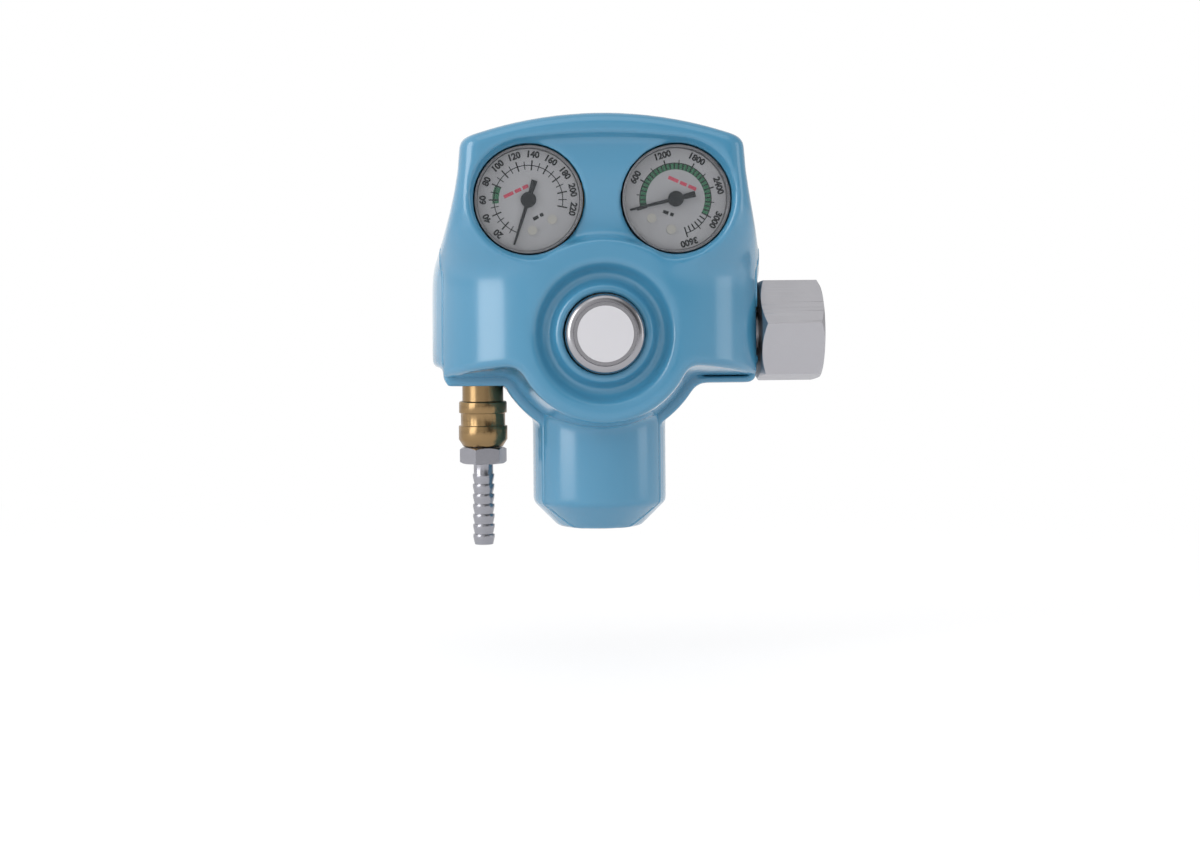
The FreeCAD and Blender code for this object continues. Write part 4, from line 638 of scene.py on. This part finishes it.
def prism(work, outline, near, far):
    """Adds a closed block to a mesh in the making, from an upright (x, z) outline and its depths."""
    rings = [[work.verts.new((x, depth, z)) for x, z in outline] for depth in (near, far)]
    faces = [work.faces.new(rings[0]), work.faces.new(rings[1][::-1])]
    for number, start in enumerate(rings[0]):
        after = (number + 1) % len(outline)
        faces.append(work.faces.new((start, rings[1][number], rings[1][after], rings[0][after])))
    bmesh.ops.recalc_face_normals(work, faces=faces)


def sector(inner, outer, start, end, side, steps=12):
    """Outline of a ring sector below the inlet axis, on one side. Angles run down from the level."""
    angles = [start + (end - start) * number / steps for number in range(steps + 1)]
    outside = [(COVER_X + side * outer * math.cos(a), -outer * math.sin(a)) for a in angles]
    inside = [(COVER_X + side * inner * math.cos(a), -inner * math.sin(a)) for a in reversed(angles)]
    return outside + inside


LOCK_START = 0.25


class Skin:
    """A closed even mesh over a copy of a node, whose points can be moved before it stands for the node."""

    def __init__(self, node, voxel, extra=()):
        source = bpy.data.objects[node].data.copy()
        work = bmesh.new()
        work.from_mesh(source)
        bmesh.ops.remove_doubles(work, verts=work.verts, dist=TOUCHING)
        for outline, near, far in extra:
            prism(work, outline, near, far)
        work.to_mesh(source)
        work.free()
        holder = new_object(node + "_start", source)
        grid = holder.modifiers.new("skin", "REMESH")
        grid.mode = "VOXEL"
        grid.voxel_size = voxel
        grid.use_smooth_shade = True
        self.mesh = evaluated_mesh(holder)
        self.node = node
        points = np.empty(len(self.mesh.vertices) * 3)
        self.mesh.vertices.foreach_get("co", points)
        self.points = points.reshape(-1, 3)
        edges = np.empty(len(self.mesh.edges) * 2, dtype=np.int64)
        self.mesh.edges.foreach_get("vertices", edges)
        self.edges = edges.reshape(-1, 2)

    def aside(self):
        """Distance of each point from the cover's middle plane."""
        return np.abs(self.points[:, 0] - COVER_X)

    def relax(self, weight, rounds):
        self.points = relaxed(self.points, self.edges, 0.5 * weight, rounds)

    def shoulder_weight(self, settings):
        """One at the shoulder of the wings, nothing near the gauges and the dish."""
        aside, height = self.aside(), self.points[:, 2]
        dial = DIALS["outlet"]
        near = np.exp(-(((height - settings.shoulder) / settings.shoulder_reach) ** 2))
        outside = smooth_step(np.hypot(aside, height), *settings.dish_clear)
        from_gauge = np.hypot(aside - abs(dial.x - COVER_X), height - dial.z)
        return near * outside * smooth_step(from_gauge, *settings.gauge_clear)

    def soften(self, side, settings):
        """Smooths what lies on one side of the joint, and the shoulder of the wings far more."""
        beyond = side * (self.points[:, 1] - settings.parting)
        free = smooth_step(beyond, LOCK_START * settings.lock, settings.lock)
        self.relax(free, settings.rounds)
        self.relax(free * self.shoulder_weight(settings), settings.shoulder_rounds)

    def finish(self):
        """Writes the moved points back and puts the skin in the node's place."""
        self.mesh.vertices.foreach_set("co", self.points.ravel())
        self.mesh.update()
        self.mesh.materials.clear()
        self.mesh.materials.append(bpy.data.materials["cover plastic"])
        piece = new_object(self.node + "_skin", self.mesh)
        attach(piece, "regulator")
        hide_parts(self.node)


def deepen_valley(skin, settings):
    """Sinks the front face between the gauges, above the dome over the dish."""
    points, aside = skin.points, skin.aside()
    radius = np.hypot(aside, points[:, 2])
    front = points[:, 1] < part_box("front_cover")[0].y + settings.face_depth
    fall = smooth_step(-points[:, 2], -settings.valley_top, -settings.valley_bottom)
    fall *= smooth_step(radius, *settings.valley_dome) * (1 - smooth_step(aside, *settings.valley_side))
    points[:, 1] += settings.valley * fall * front


def close_lip(skin, settings):
    """Draws the dish's lip in towards the plug."""
    points = skin.points
    radius = np.hypot(skin.aside(), points[:, 2])
    low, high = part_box("centre_plug")
    plug_edge = (high.x - low.x) / 2
    lip = radius[radius < plug_edge + settings.lip_search].min()
    fade = smooth_step(radius, lip + settings.lip_fade[0], lip + settings.lip_fade[1])
    share = 1 - (lip - plug_edge - settings.plug_gap) * (1 - fade) / np.maximum(radius, MM)
    points[:, 0] = COVER_X + (points[:, 0] - COVER_X) * share
    points[:, 2] *= share


class REGULATOR_OT_front_skin(bpy.types.Operator):
    """Give the front cover the soft, flowing bends of a moulding"""

    bl_idname = "regulator.front_skin"
    bl_label = "Smooth front cover"

    def execute(self, context):
        settings = context.scene.regulator_skin
        skin = Skin("front_cover", settings.voxel)
        skin.soften(-1, settings)
        deepen_valley(skin, settings)
        close_lip(skin, settings)
        skin.finish()
        return {"FINISHED"}


class REGULATOR_OT_rear_skin(bpy.types.Operator):
    """Give the rear cover soft bends and the lip that runs in front of the coupling"""

    bl_idname = "regulator.rear_skin"
    bl_label = "Smooth rear cover"

    def execute(self, context):
        settings = context.scene.regulator_skin
        near, far = settings.parting, settings.parting + settings.lip_wall
        left, right = COUPLING_X - settings.lip_reach, COUPLING_X + settings.lip_reach
        low, high = settings.lip_bottom, settings.lip_top
        extra = [([(left, low), (right, low), (right, high), (left, high)], near, far)]
        inner, outer = settings.apron_inner, settings.apron_outer
        for side in (-1, 1):
            strip = sector(inner, outer, settings.apron_start, settings.apron_end, side)
            extra.append((strip, near, far))
        skin = Skin("rear_cover", settings.rear_voxel, extra)
        skin.soften(1, settings)
        depth = skin.points[:, 1]
        free = smooth_step(depth, settings.parting, settings.parting + settings.lock)
        depth -= settings.overlap * (1 - free)
        skin.finish()
        return {"FINISHED"}


# Dial print


def tick_tree():
    """Bars round a dial, clockwise from a start angle and one step apart, facing -Y."""
    tree, given, result = node_group(
        "GeometryNodeTree",
        "Dial ticks",
        [
            ("geometry", "Geometry", None),
            ("count", "Count", 12),
            ("value", "Start", 0.0),
            ("value", "Step", 0.1),
            ("value", "Inner", 0.009),
            ("value", "Outer", 0.012),
            ("value", "Width", 0.0003),
            ("value", "Depth", 0.00003),
            ("vector", "Centre", (0, 0, 0)),
            ("material", "Material", None),
        ],
        [("geometry", "Geometry")],
    )
    bar = tree.nodes.new("GeometryNodeMeshCube")
    size = tree.nodes.new("ShaderNodeCombineXYZ")
    length = math_node(tree, "SUBTRACT", given["Outer"], given["Inner"])
    points = tree.nodes.new("GeometryNodePoints")
    index = tree.nodes.new("GeometryNodeInputIndex").outputs[0]
    turned = math_node(tree, "MULTIPLY", index, given["Step"])
    angle = math_node(tree, "SUBTRACT", given["Start"], turned)
    both_ends = math_node(tree, "ADD", given["Outer"], given["Inner"])
    radius = math_node(tree, "MULTIPLY", both_ends, 0.5)
    spot = tree.nodes.new("ShaderNodeCombineXYZ")
    moved = place(tree, "ShaderNodeVectorMath", operation="ADD")
    facing = tree.nodes.new("ShaderNodeCombineXYZ")
    turn = tree.nodes.new("FunctionNodeEulerToRotation")
    copies = tree.nodes.new("GeometryNodeInstanceOnPoints")
    solid = tree.nodes.new("GeometryNodeRealizeInstances")
    paint = tree.nodes.new("GeometryNodeSetMaterial")
    link(
        tree,
        (length, size, "X"),
        (given["Depth"], size, "Y"),
        (given["Width"], size, "Z"),
        (size.outputs[0], bar, "Size"),
        (given["Count"], points, "Count"),
        (math_node(tree, "MULTIPLY", math_node(tree, "COSINE", angle), radius), spot, "X"),
        (math_node(tree, "MULTIPLY", math_node(tree, "SINE", angle), radius), spot, "Z"),
        (spot.outputs[0], moved, 0),
        (given["Centre"], moved, 1),
        (moved.outputs["Vector"], points, "Position"),
        (math_node(tree, "MULTIPLY", angle, -1.0), facing, "Y"),
        (facing.outputs[0], turn, 0),
        (points.outputs[0], copies, "Points"),
        (bar.outputs["Mesh"], copies, "Instance"),
        (turn.outputs[0], copies, "Rotation"),
        (copies.outputs[0], solid, 0),
        (solid.outputs[0], paint, "Geometry"),
        (given["Material"], paint, "Material"),
        (paint.outputs[0], result, 0),
    )
    return tree


def grown(tree, name, values):
    """A plain mesh made by a geometry node tree with these input values."""
    start = new_object(name + "_start", bpy.data.meshes.new(name + "_start"))
    modifier = start.modifiers.new("grow", "NODES")
    modifier.node_group = tree
    names = {
        item.name: item.identifier
        for item in tree.interface.items_tree
        if item.item_type == "SOCKET" and item.in_out == "INPUT"
    }
    for title, value in values.items():
        modifier[names[title]] = value
    mesh = evaluated_mesh(start)
    mesh.name = name
    return mesh


def upright(radius, angle):
    """A vector in the dial's plane."""
    return Vector((radius * math.cos(angle), 0, radius * math.sin(angle)))


def axes(turn):
    """Directions along and across print that is turned in the dial's plane."""
    return upright(1, turn), upright(1, turn + math.pi / 2)


def plain_mesh(name, vertices, faces, material):
    """A mesh of one material from its corners and faces."""
    mesh = bpy.data.meshes.new(name)
    mesh.from_pydata([tuple(vertex) for vertex in vertices], [], faces)
    mesh.materials.append(material)
    return mesh


def arc_mesh(name, centre, inner, outer, start, end, depth, segments, material):
    """A flat ring sector that faces -Y, clockwise from its start to its end."""
    steps = max(2, round(segments * (start - end) / math.tau))
    vertices, faces = [], []
    for number in range(steps + 1):
        angle = start + (end - start) * number / steps
        for radius in (inner, outer):
            for back in (-depth / 2, depth / 2):
                vertices.append(centre + upright(radius, angle) + Vector((0, back, 0)))
    for a in range(0, 4 * steps, 4):
        b = a + 4
        faces += [(a, a + 2, b + 2, b), (a + 1, b + 1, b + 3, a + 3)]
        faces += [(a, b, b + 1, a + 1), (a + 2, a + 3, b + 3, b + 2)]
    last = 4 * steps
    faces += [(0, 1, 3, 2), (last, last + 2, last + 3, last + 1)]
    return plain_mesh(name, vertices, faces, material)


def bar_mesh(name, centre, width, height, depth, slant, material):
    """A small flat bar that faces -Y, turned by a slant."""
    along, up = axes(slant)
    corners = []
    for back in (-depth / 2, depth / 2):
        for x, z in ((-1, -1), (1, -1), (1, 1), (-1, 1)):
            corners.append(centre + along * (x * width / 2) + up * (z * height / 2) + Vector((0, back, 0)))
    faces = [(0, 1, 2, 3), (7, 6, 5, 4), (0, 4, 5, 1), (1, 5, 6, 2), (2, 6, 7, 3), (3, 7, 4, 0)]
    return plain_mesh(name, corners, faces, material)


LETTER_STEPS = 3
BOLDNESS = 0.05


def number_mesh(text, centre, size, depth, turn, material):
    """A plain bold number that faces -Y, centred on its place and turned to stand on its dial's centre."""
    curve = bpy.data.curves.new("number", "FONT")
    curve.body = text
    curve.size = size
    curve.extrude = depth / 2
    curve.align_x = "CENTER"
    curve.align_y = "CENTER"
    curve.resolution_u = LETTER_STEPS
    curve.offset = size * BOLDNESS
    mesh = evaluated_mesh(new_object("number", curve))
    bpy.data.curves.remove(curve)
    along, up = axes(turn)
    for vertex in mesh.vertices:
        x, y, z = vertex.co
        vertex.co = centre + along * x + up * y + Vector((0, -z, 0))
    mesh.materials.clear()
    mesh.materials.append(material)
    return mesh


def joined(name, meshes, body):
    """One object at the origin from several meshes, riding on one body."""
    holders = [new_object(name, mesh) for mesh in meshes]
    made = holders[0]
    with bpy.context.temp_override(
        active_object=made, object=made, selected_objects=holders, selected_editable_objects=holders
    ):
        bpy.ops.object.join()
    made.name = name
    made.data.name = name
    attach(made, body)
    return made


class DialPlan:
    """Where one dial's print goes."""

    def __init__(self, settings, side):
        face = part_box(side + "_dial")[0].y
        self.centre = DIALS[side].copy()
        self.centre.y = face - settings.lift - settings.ink_depth / 2
        self.settings = settings
        self.ink, self.green = bpy.data.materials["dial ink"], bpy.data.materials["green ink"]

    def spot(self, radius, angle):
        return self.centre + upright(radius, angle)


def ticks(plan, count, start, step, inner, outer, width):
    """One mesh for a row of like ticks."""
    tree = bpy.data.node_groups.get("Dial ticks") or tick_tree()
    values = {
        "Count": count,
        "Start": start,
        "Step": step,
        "Inner": inner,
        "Outer": outer,
        "Width": width,
        "Depth": plan.settings.ink_depth,
        "Centre": plan.centre,
        "Material": plan.ink,
    }
    return grown(tree, "ticks", values)


def scale_line(plan, radius, start, end):
    """The thin line round a scale."""
    half, depth, segments = plan.settings.fine_width / 2, plan.settings.ink_depth, plan.settings.segments
    inner, outer = radius - half, radius + half
    return arc_mesh("line", plan.centre, inner, outer, start, end, depth, segments, plan.ink)


def band(plan, inner, outer, start, end):
    """A green band just behind the black print."""
    depth, segments = plan.settings.ink_depth, plan.settings.segments
    behind = plan.centre + Vector((0, depth / 2, 0))
    return arc_mesh("band", behind, inner, outer, start, end, depth, segments, plan.green)


def numbers(plan, values, start, step):
    """Numbers that stand on the dial's centre, clockwise and one step apart."""
    settings = plan.settings
    made = []
    for index, value in enumerate(values):
        angle = start - step * index
        spot = plan.spot(settings.number_radius, angle)
        turn = angle - math.pi / 2
        size, depth = settings.number_size, settings.ink_depth
        made.append(number_mesh(str(value), spot, size, depth, turn, plan.ink))
    return made


WordRow = namedtuple("WordRow", "name radius angle lengths slant")
BAR_HEIGHT = 1.15 * MM
BAR_GAP = 0.6 * MM


def word_row(name, radius, angle, lengths, slant):
    """A row of bars, given in millimetres and degrees."""
    lengths = [length * MM for length in lengths]
    return WordRow(name, radius * MM, math.radians(angle), lengths, math.radians(slant))


OUTLET_UNIT = word_row("unit", 6.4, 300.0, (1.9, 1.2), 28.0)
OUTLET_WORDS = word_row("bar", 4.9, 145.0, (3.4, 2.2, 2.0), 25.0)
CONTENTS_UNIT = word_row("unit", 5.3, 243.0, (1.9, 1.2), -20.0)
CONTENTS_WORDS = word_row("bar", 5.6, 66.0, (3.6, 2.4, 2.8), -24.0)


def word_bars(plan, row, material):
    """Plain bars in a row, where the real dial has small words."""
    along, depth = axes(row.slant)[0], plan.settings.ink_depth
    start = -(sum(row.lengths) + BAR_GAP * (len(row.lengths) - 1)) / 2
    made = []
    for length in row.lengths:
        spot = plan.spot(row.radius, row.angle) + along * (start + length / 2)
        made.append(bar_mesh(row.name, spot, length, BAR_HEIGHT, depth, row.slant, material))
        start += length + BAR_GAP
    return made


def print_dial(side, plan, print_pieces, band_piece, words):
    """One object for the black print, one for the green band and one for the red bars."""
    joined(side + "_dial_print", print_pieces, "regulator")
    joined(side + "_dial_band", [band_piece], "regulator")
    joined(side + "_dial_bar", word_bars(plan, words, bpy.data.materials["red ink"]), "regulator")


class REGULATOR_OT_outlet_print(bpy.types.Operator):
    """Print the outlet gauge's scale: crossed ticks on a line, a green patch and plain numbers"""

    bl_idname = "regulator.outlet_print"
    bl_label = "Print outlet dial"

    def execute(self, context):
        settings = context.scene.regulator_dial
        plan = DialPlan(settings, "outlet")
        start, step, count = settings.outlet_start, settings.outlet_step, settings.outlet_count
        inner, outer = settings.tick_inner, settings.tick_outer
        short_inner, short_outer = inner + settings.short_trim_inner, outer - settings.short_trim_outer
        bold, fine = settings.line_width, settings.fine_width
        values = [settings.outlet_unit * index for index in range(1, count)]
        pieces = [
            ticks(plan, count, start, step, inner, outer, bold),
            ticks(plan, count - 1, start - step / 2, step, short_inner, short_outer, fine),
            scale_line(plan, settings.arc_radius, start, start - (count - 1) * step),
            *numbers(plan, values, start - step, step),
            *word_bars(plan, OUTLET_UNIT, plan.ink),
        ]
        rim = settings.arc_radius + settings.patch_rim
        patch = band(plan, inner, rim, settings.patch_start, settings.patch_end)
        print_dial("outlet", plan, pieces, patch, OUTLET_WORDS)
        return {"FINISHED"}


class REGULATOR_OT_contents_print(bpy.types.Operator):
    """Print the contents gauge's scale: a green band with fine ticks and plain numbers"""

    bl_idname = "regulator.contents_print"
    bl_label = "Print contents dial"

    def execute(self, context):
        settings = context.scene.regulator_dial
        plan = DialPlan(settings, "contents")
        start, step, count = settings.contents_start, settings.contents_step, settings.contents_count
        low, high = settings.band_inner, settings.band_outer
        bold, fine = settings.line_width, settings.fine_width
        spaces, divisions = count - 1, settings.divisions
        values = [settings.contents_unit * index for index in range(1, count)]
        pieces = [
            ticks(plan, count, start, step, low, settings.long_outer, bold),
            ticks(plan, 2 * spaces + 1, start, step / 2, low, settings.middle_outer, fine),
            ticks(plan, divisions * spaces + 1, start, step / divisions, low, high, bold),
            scale_line(plan, high, start, start - spaces * step),
            *numbers(plan, values, start - step, step),
            *word_bars(plan, CONTENTS_UNIT, plan.ink),
        ]
        green_band = band(plan, low, high, start, start - (spaces - 1) * step)
        print_dial("contents", plan, pieces, green_band, CONTENTS_WORDS)
        return {"FINISHED"}


# Stage


WHITE = (1, 1, 1, 1)
FLOOR_SHOWN = (0.93, 0.93, 0.94)
FLOOR_LIT = (0.8, 0.8, 0.81)
FLOOR_REACH = 6.0
FLOOR_FADE = {"From Min": 0.1, "From Max": 0.7, "To Min": 0.55, "To Max": 1.0}
REFLECTION_SLOPE = (-0.6, 0.0, -0.4)
REFLECTION_FRONT = {"From Min": -0.97, "From Max": -0.55, "To Min": 0.3, "To Max": 1.0}
Softbox = namedtuple("Softbox", "name offset width height")
LEFT_BOX = Softbox("left softbox", (-0.75, -0.45, 0.12), 0.45, 1.1)
TOP_BOX = Softbox("top softbox", (0.05, -0.35, 0.9), 0.9, 0.6)
RIGHT_BOX = Softbox("right fill", (0.85, -0.2, 0.05), 0.3, 0.8)
FRONT_BOX = Softbox("front fill", (-0.1, -1.1, 0.35), 0.7, 0.7)
SENSOR_WIDTH = 36.0
CAMERA_CLIP = (0.01, 20.0)


def area_light(box, centre, power):
    """A rectangular soft light that faces the object."""
    lamp = bpy.data.lights.new(box.name, "AREA")
    lamp.shape = "RECTANGLE"
    lamp.size, lamp.size_y = box.width, box.height
    lamp.energy = power
    holder = new_object(box.name, lamp)
    holder.location = centre + Vector(box.offset)
    holder.rotation_euler = (-Vector(box.offset)).to_track_quat("-Z", "Y").to_euler()
    return holder


def soft_range(tree, value, bounds):
    """A smooth fade between two bounds of a value."""
    fade = place(tree, "ShaderNodeMapRange", interpolation_type="SMOOTHSTEP")
    fill(fade, bounds)
    link(tree, (value, fade, "Value"))
    return fade.outputs["Result"]


def pale_world(strength):
    """Plain pale surroundings: white to the camera, and in reflections never above white, darker to the
    right, above and towards the camera."""
    world = bpy.data.worlds.new("pale room")
    world.use_nodes = True
    tree = world.node_tree
    tree.nodes.clear()
    shown = place(tree, "ShaderNodeBackground", Color=WHITE, Strength=1.0)
    lit = place(tree, "ShaderNodeBackground", Color=WHITE, Strength=strength)
    mirrored = place(tree, "ShaderNodeBackground", Color=WHITE)
    direction = tree.nodes.new("ShaderNodeTexCoord").outputs["Generated"]
    slope = place(tree, "ShaderNodeVectorMath", operation="DOT_PRODUCT")
    slope.inputs[1].default_value = REFLECTION_SLOPE
    facing = place(tree, "ShaderNodeSeparateXYZ")
    link(tree, (direction, slope, 0), (direction, facing, 0))
    dark = soft_range(tree, facing.outputs["Y"], REFLECTION_FRONT)
    level = math_node(tree, "ADD", slope.outputs["Value"], dark)
    path = tree.nodes.new("ShaderNodeLightPath")
    glossy, through = path.outputs["Is Glossy Ray"], path.outputs["Is Transmission Ray"]
    soft, mix = tree.nodes.new("ShaderNodeMixShader"), tree.nodes.new("ShaderNodeMixShader")
    result = tree.nodes.new("ShaderNodeOutputWorld")
    link(
        tree,
        (math_node(tree, "MINIMUM", level, 1.0), mirrored, "Strength"),
        (math_node(tree, "MAXIMUM", glossy, through), soft, 0),
        (lit.outputs[0], soft, 1),
        (mirrored.outputs[0], soft, 2),
        (path.outputs["Is Camera Ray"], mix, 0),
        (soft.outputs[0], mix, 1),
        (shown.outputs[0], mix, 2),
        (mix.outputs[0], result, "Surface"),
    )
    bpy.context.scene.world = world


def floor_finish():
    """Pale floor that fades to plain white away from the object and keeps its shadow."""
    material = finish("floor", FLOOR_SHOWN, roughness=0.8, drift=0.0, bump=0.0)
    tree = material.node_tree
    shader = tree.nodes["Principled BSDF"]
    result = tree.nodes["Material Output"]
    glow = place(tree, "ShaderNodeEmission", Color=WHITE, Strength=1.0)
    offset = place(tree, "ShaderNodeVectorMath", operation="DISTANCE")
    link(tree, (tree.nodes.new("ShaderNodeTexCoord").outputs["Object"], offset, 0))
    offset.inputs[1].default_value = (COVER_X, 0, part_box("hose_tail")[0].z)
    fade = soft_range(tree, offset.outputs["Value"], FLOOR_FADE)
    seen = tree.nodes.new("ShaderNodeLightPath").outputs["Is Camera Ray"]
    bright = place(tree, "ShaderNodeMix", data_type="RGBA")
    sockets = {socket.identifier: socket for socket in bright.inputs}
    sockets["A_Color"].default_value = (*FLOOR_LIT, 1)
    sockets["B_Color"].default_value = (*FLOOR_SHOWN, 1)
    tinted = next(socket for socket in bright.outputs if socket.identifier == "Result_Color")
    tree.links.new(seen, sockets["Factor_Float"])
    mix = tree.nodes.new("ShaderNodeMixShader")
    link(
        tree,
        (tinted, shader, "Base Color"),
        (math_node(tree, "MULTIPLY", fade, seen), mix, 0),
        (shader.outputs[0], mix, 1),
        (glow.outputs[0], mix, 2),
        (mix.outputs[0], result, "Surface"),
    )
    return material


def floor_piece(height):
    """A wide plain floor under the object."""
    sides = ((-1, -1), (1, -1), (1, 1), (-1, 1))
    corners = [(x * FLOOR_REACH, y * FLOOR_REACH, height) for x, y in sides]
    return new_object("floor", plain_mesh("floor", corners, [(0, 1, 2, 3)], floor_finish()))


class REGULATOR_OT_stage(bpy.types.Operator):
    """Make the floor, lights and camera"""

    bl_idname = "regulator.stage"
    bl_label = "Build stage"

    def execute(self, context):
        scene = context.scene
        settings = scene.regulator_stage
        pale_world(settings.world_strength)
        centre = Vector((COVER_X + settings.aim, 0, 0))
        if settings.show_floor:
            floor_piece(settings.floor_height)
        area_light(LEFT_BOX, centre, settings.left_power)
        area_light(TOP_BOX, centre, settings.top_power)
        area_light(RIGHT_BOX, centre, settings.right_power)
        area_light(FRONT_BOX, centre, settings.front_power)
        camera = bpy.data.cameras.new("camera")
        camera.lens = settings.lens
        camera.sensor_width = SENSOR_WIDTH
        camera.shift_x, camera.shift_y = settings.shift_x, settings.shift_y
        camera.clip_start, camera.clip_end = CAMERA_CLIP
        holder = new_object("camera", camera)
        back = Vector((math.sin(settings.azimuth), -math.cos(settings.azimuth), 0))
        holder.location = centre + back * settings.distance + Vector((0, 0, settings.camera_height))
        holder.rotation_euler = (math.pi / 2, settings.roll, settings.azimuth)
        scene.camera = holder
        scene.view_settings.view_transform = "Standard"
        return {"FINISHED"}


class REGULATOR_PT_panel(bpy.types.Panel):
    """Settings and steps"""

    bl_idname = "REGULATOR_PT_panel"
    bl_label = "Oxygen regulator"
    bl_space_type = "VIEW_3D"
    bl_region_type = "UI"
    bl_category = "Regulator"

    def draw(self, context):
        layout = self.layout
        for title, settings in (
            ("Colours", context.scene.regulator_colours),
            ("Cover skin", context.scene.regulator_skin),
            ("Dials", context.scene.regulator_dial),
            ("Stage", context.scene.regulator_stage),
        ):
            box = layout.box()
            box.label(text=title)
            for name in settings.__annotations__:
                box.prop(settings, name)
        for step in OPERATORS:
            layout.operator(step.bl_idname)


SETTINGS = {
    "regulator_colours": RegulatorColours,
    "regulator_skin": SkinSettings,
    "regulator_dial": DialSettings,
    "regulator_stage": StageSettings,
}
OPERATORS = (
    REGULATOR_OT_finishes,
    REGULATOR_OT_front_skin,
    REGULATOR_OT_rear_skin,
    REGULATOR_OT_outlet_print,
    REGULATOR_OT_contents_print,
    REGULATOR_OT_stage,
)


def register():
    for kind in (*SETTINGS.values(), *OPERATORS, REGULATOR_PT_panel):
        bpy.utils.register_class(kind)
    for name, kind in SETTINGS.items():
        setattr(bpy.types.Scene, name, PointerProperty(type=kind))


def unregister():
    for name in SETTINGS:
        delattr(bpy.types.Scene, name)
    for kind in reversed((*SETTINGS.values(), *OPERATORS, REGULATOR_PT_panel)):
        bpy.utils.unregister_class(kind)


def main():
    if not frame["bodies"]:
        raise RuntimeError("the frame has no bodies")
    register()
    for step in OPERATORS:
        module, name = step.bl_idname.split(".")
        getattr(getattr(bpy.ops, module), name)()


if __name__ == "__main__":
    main()
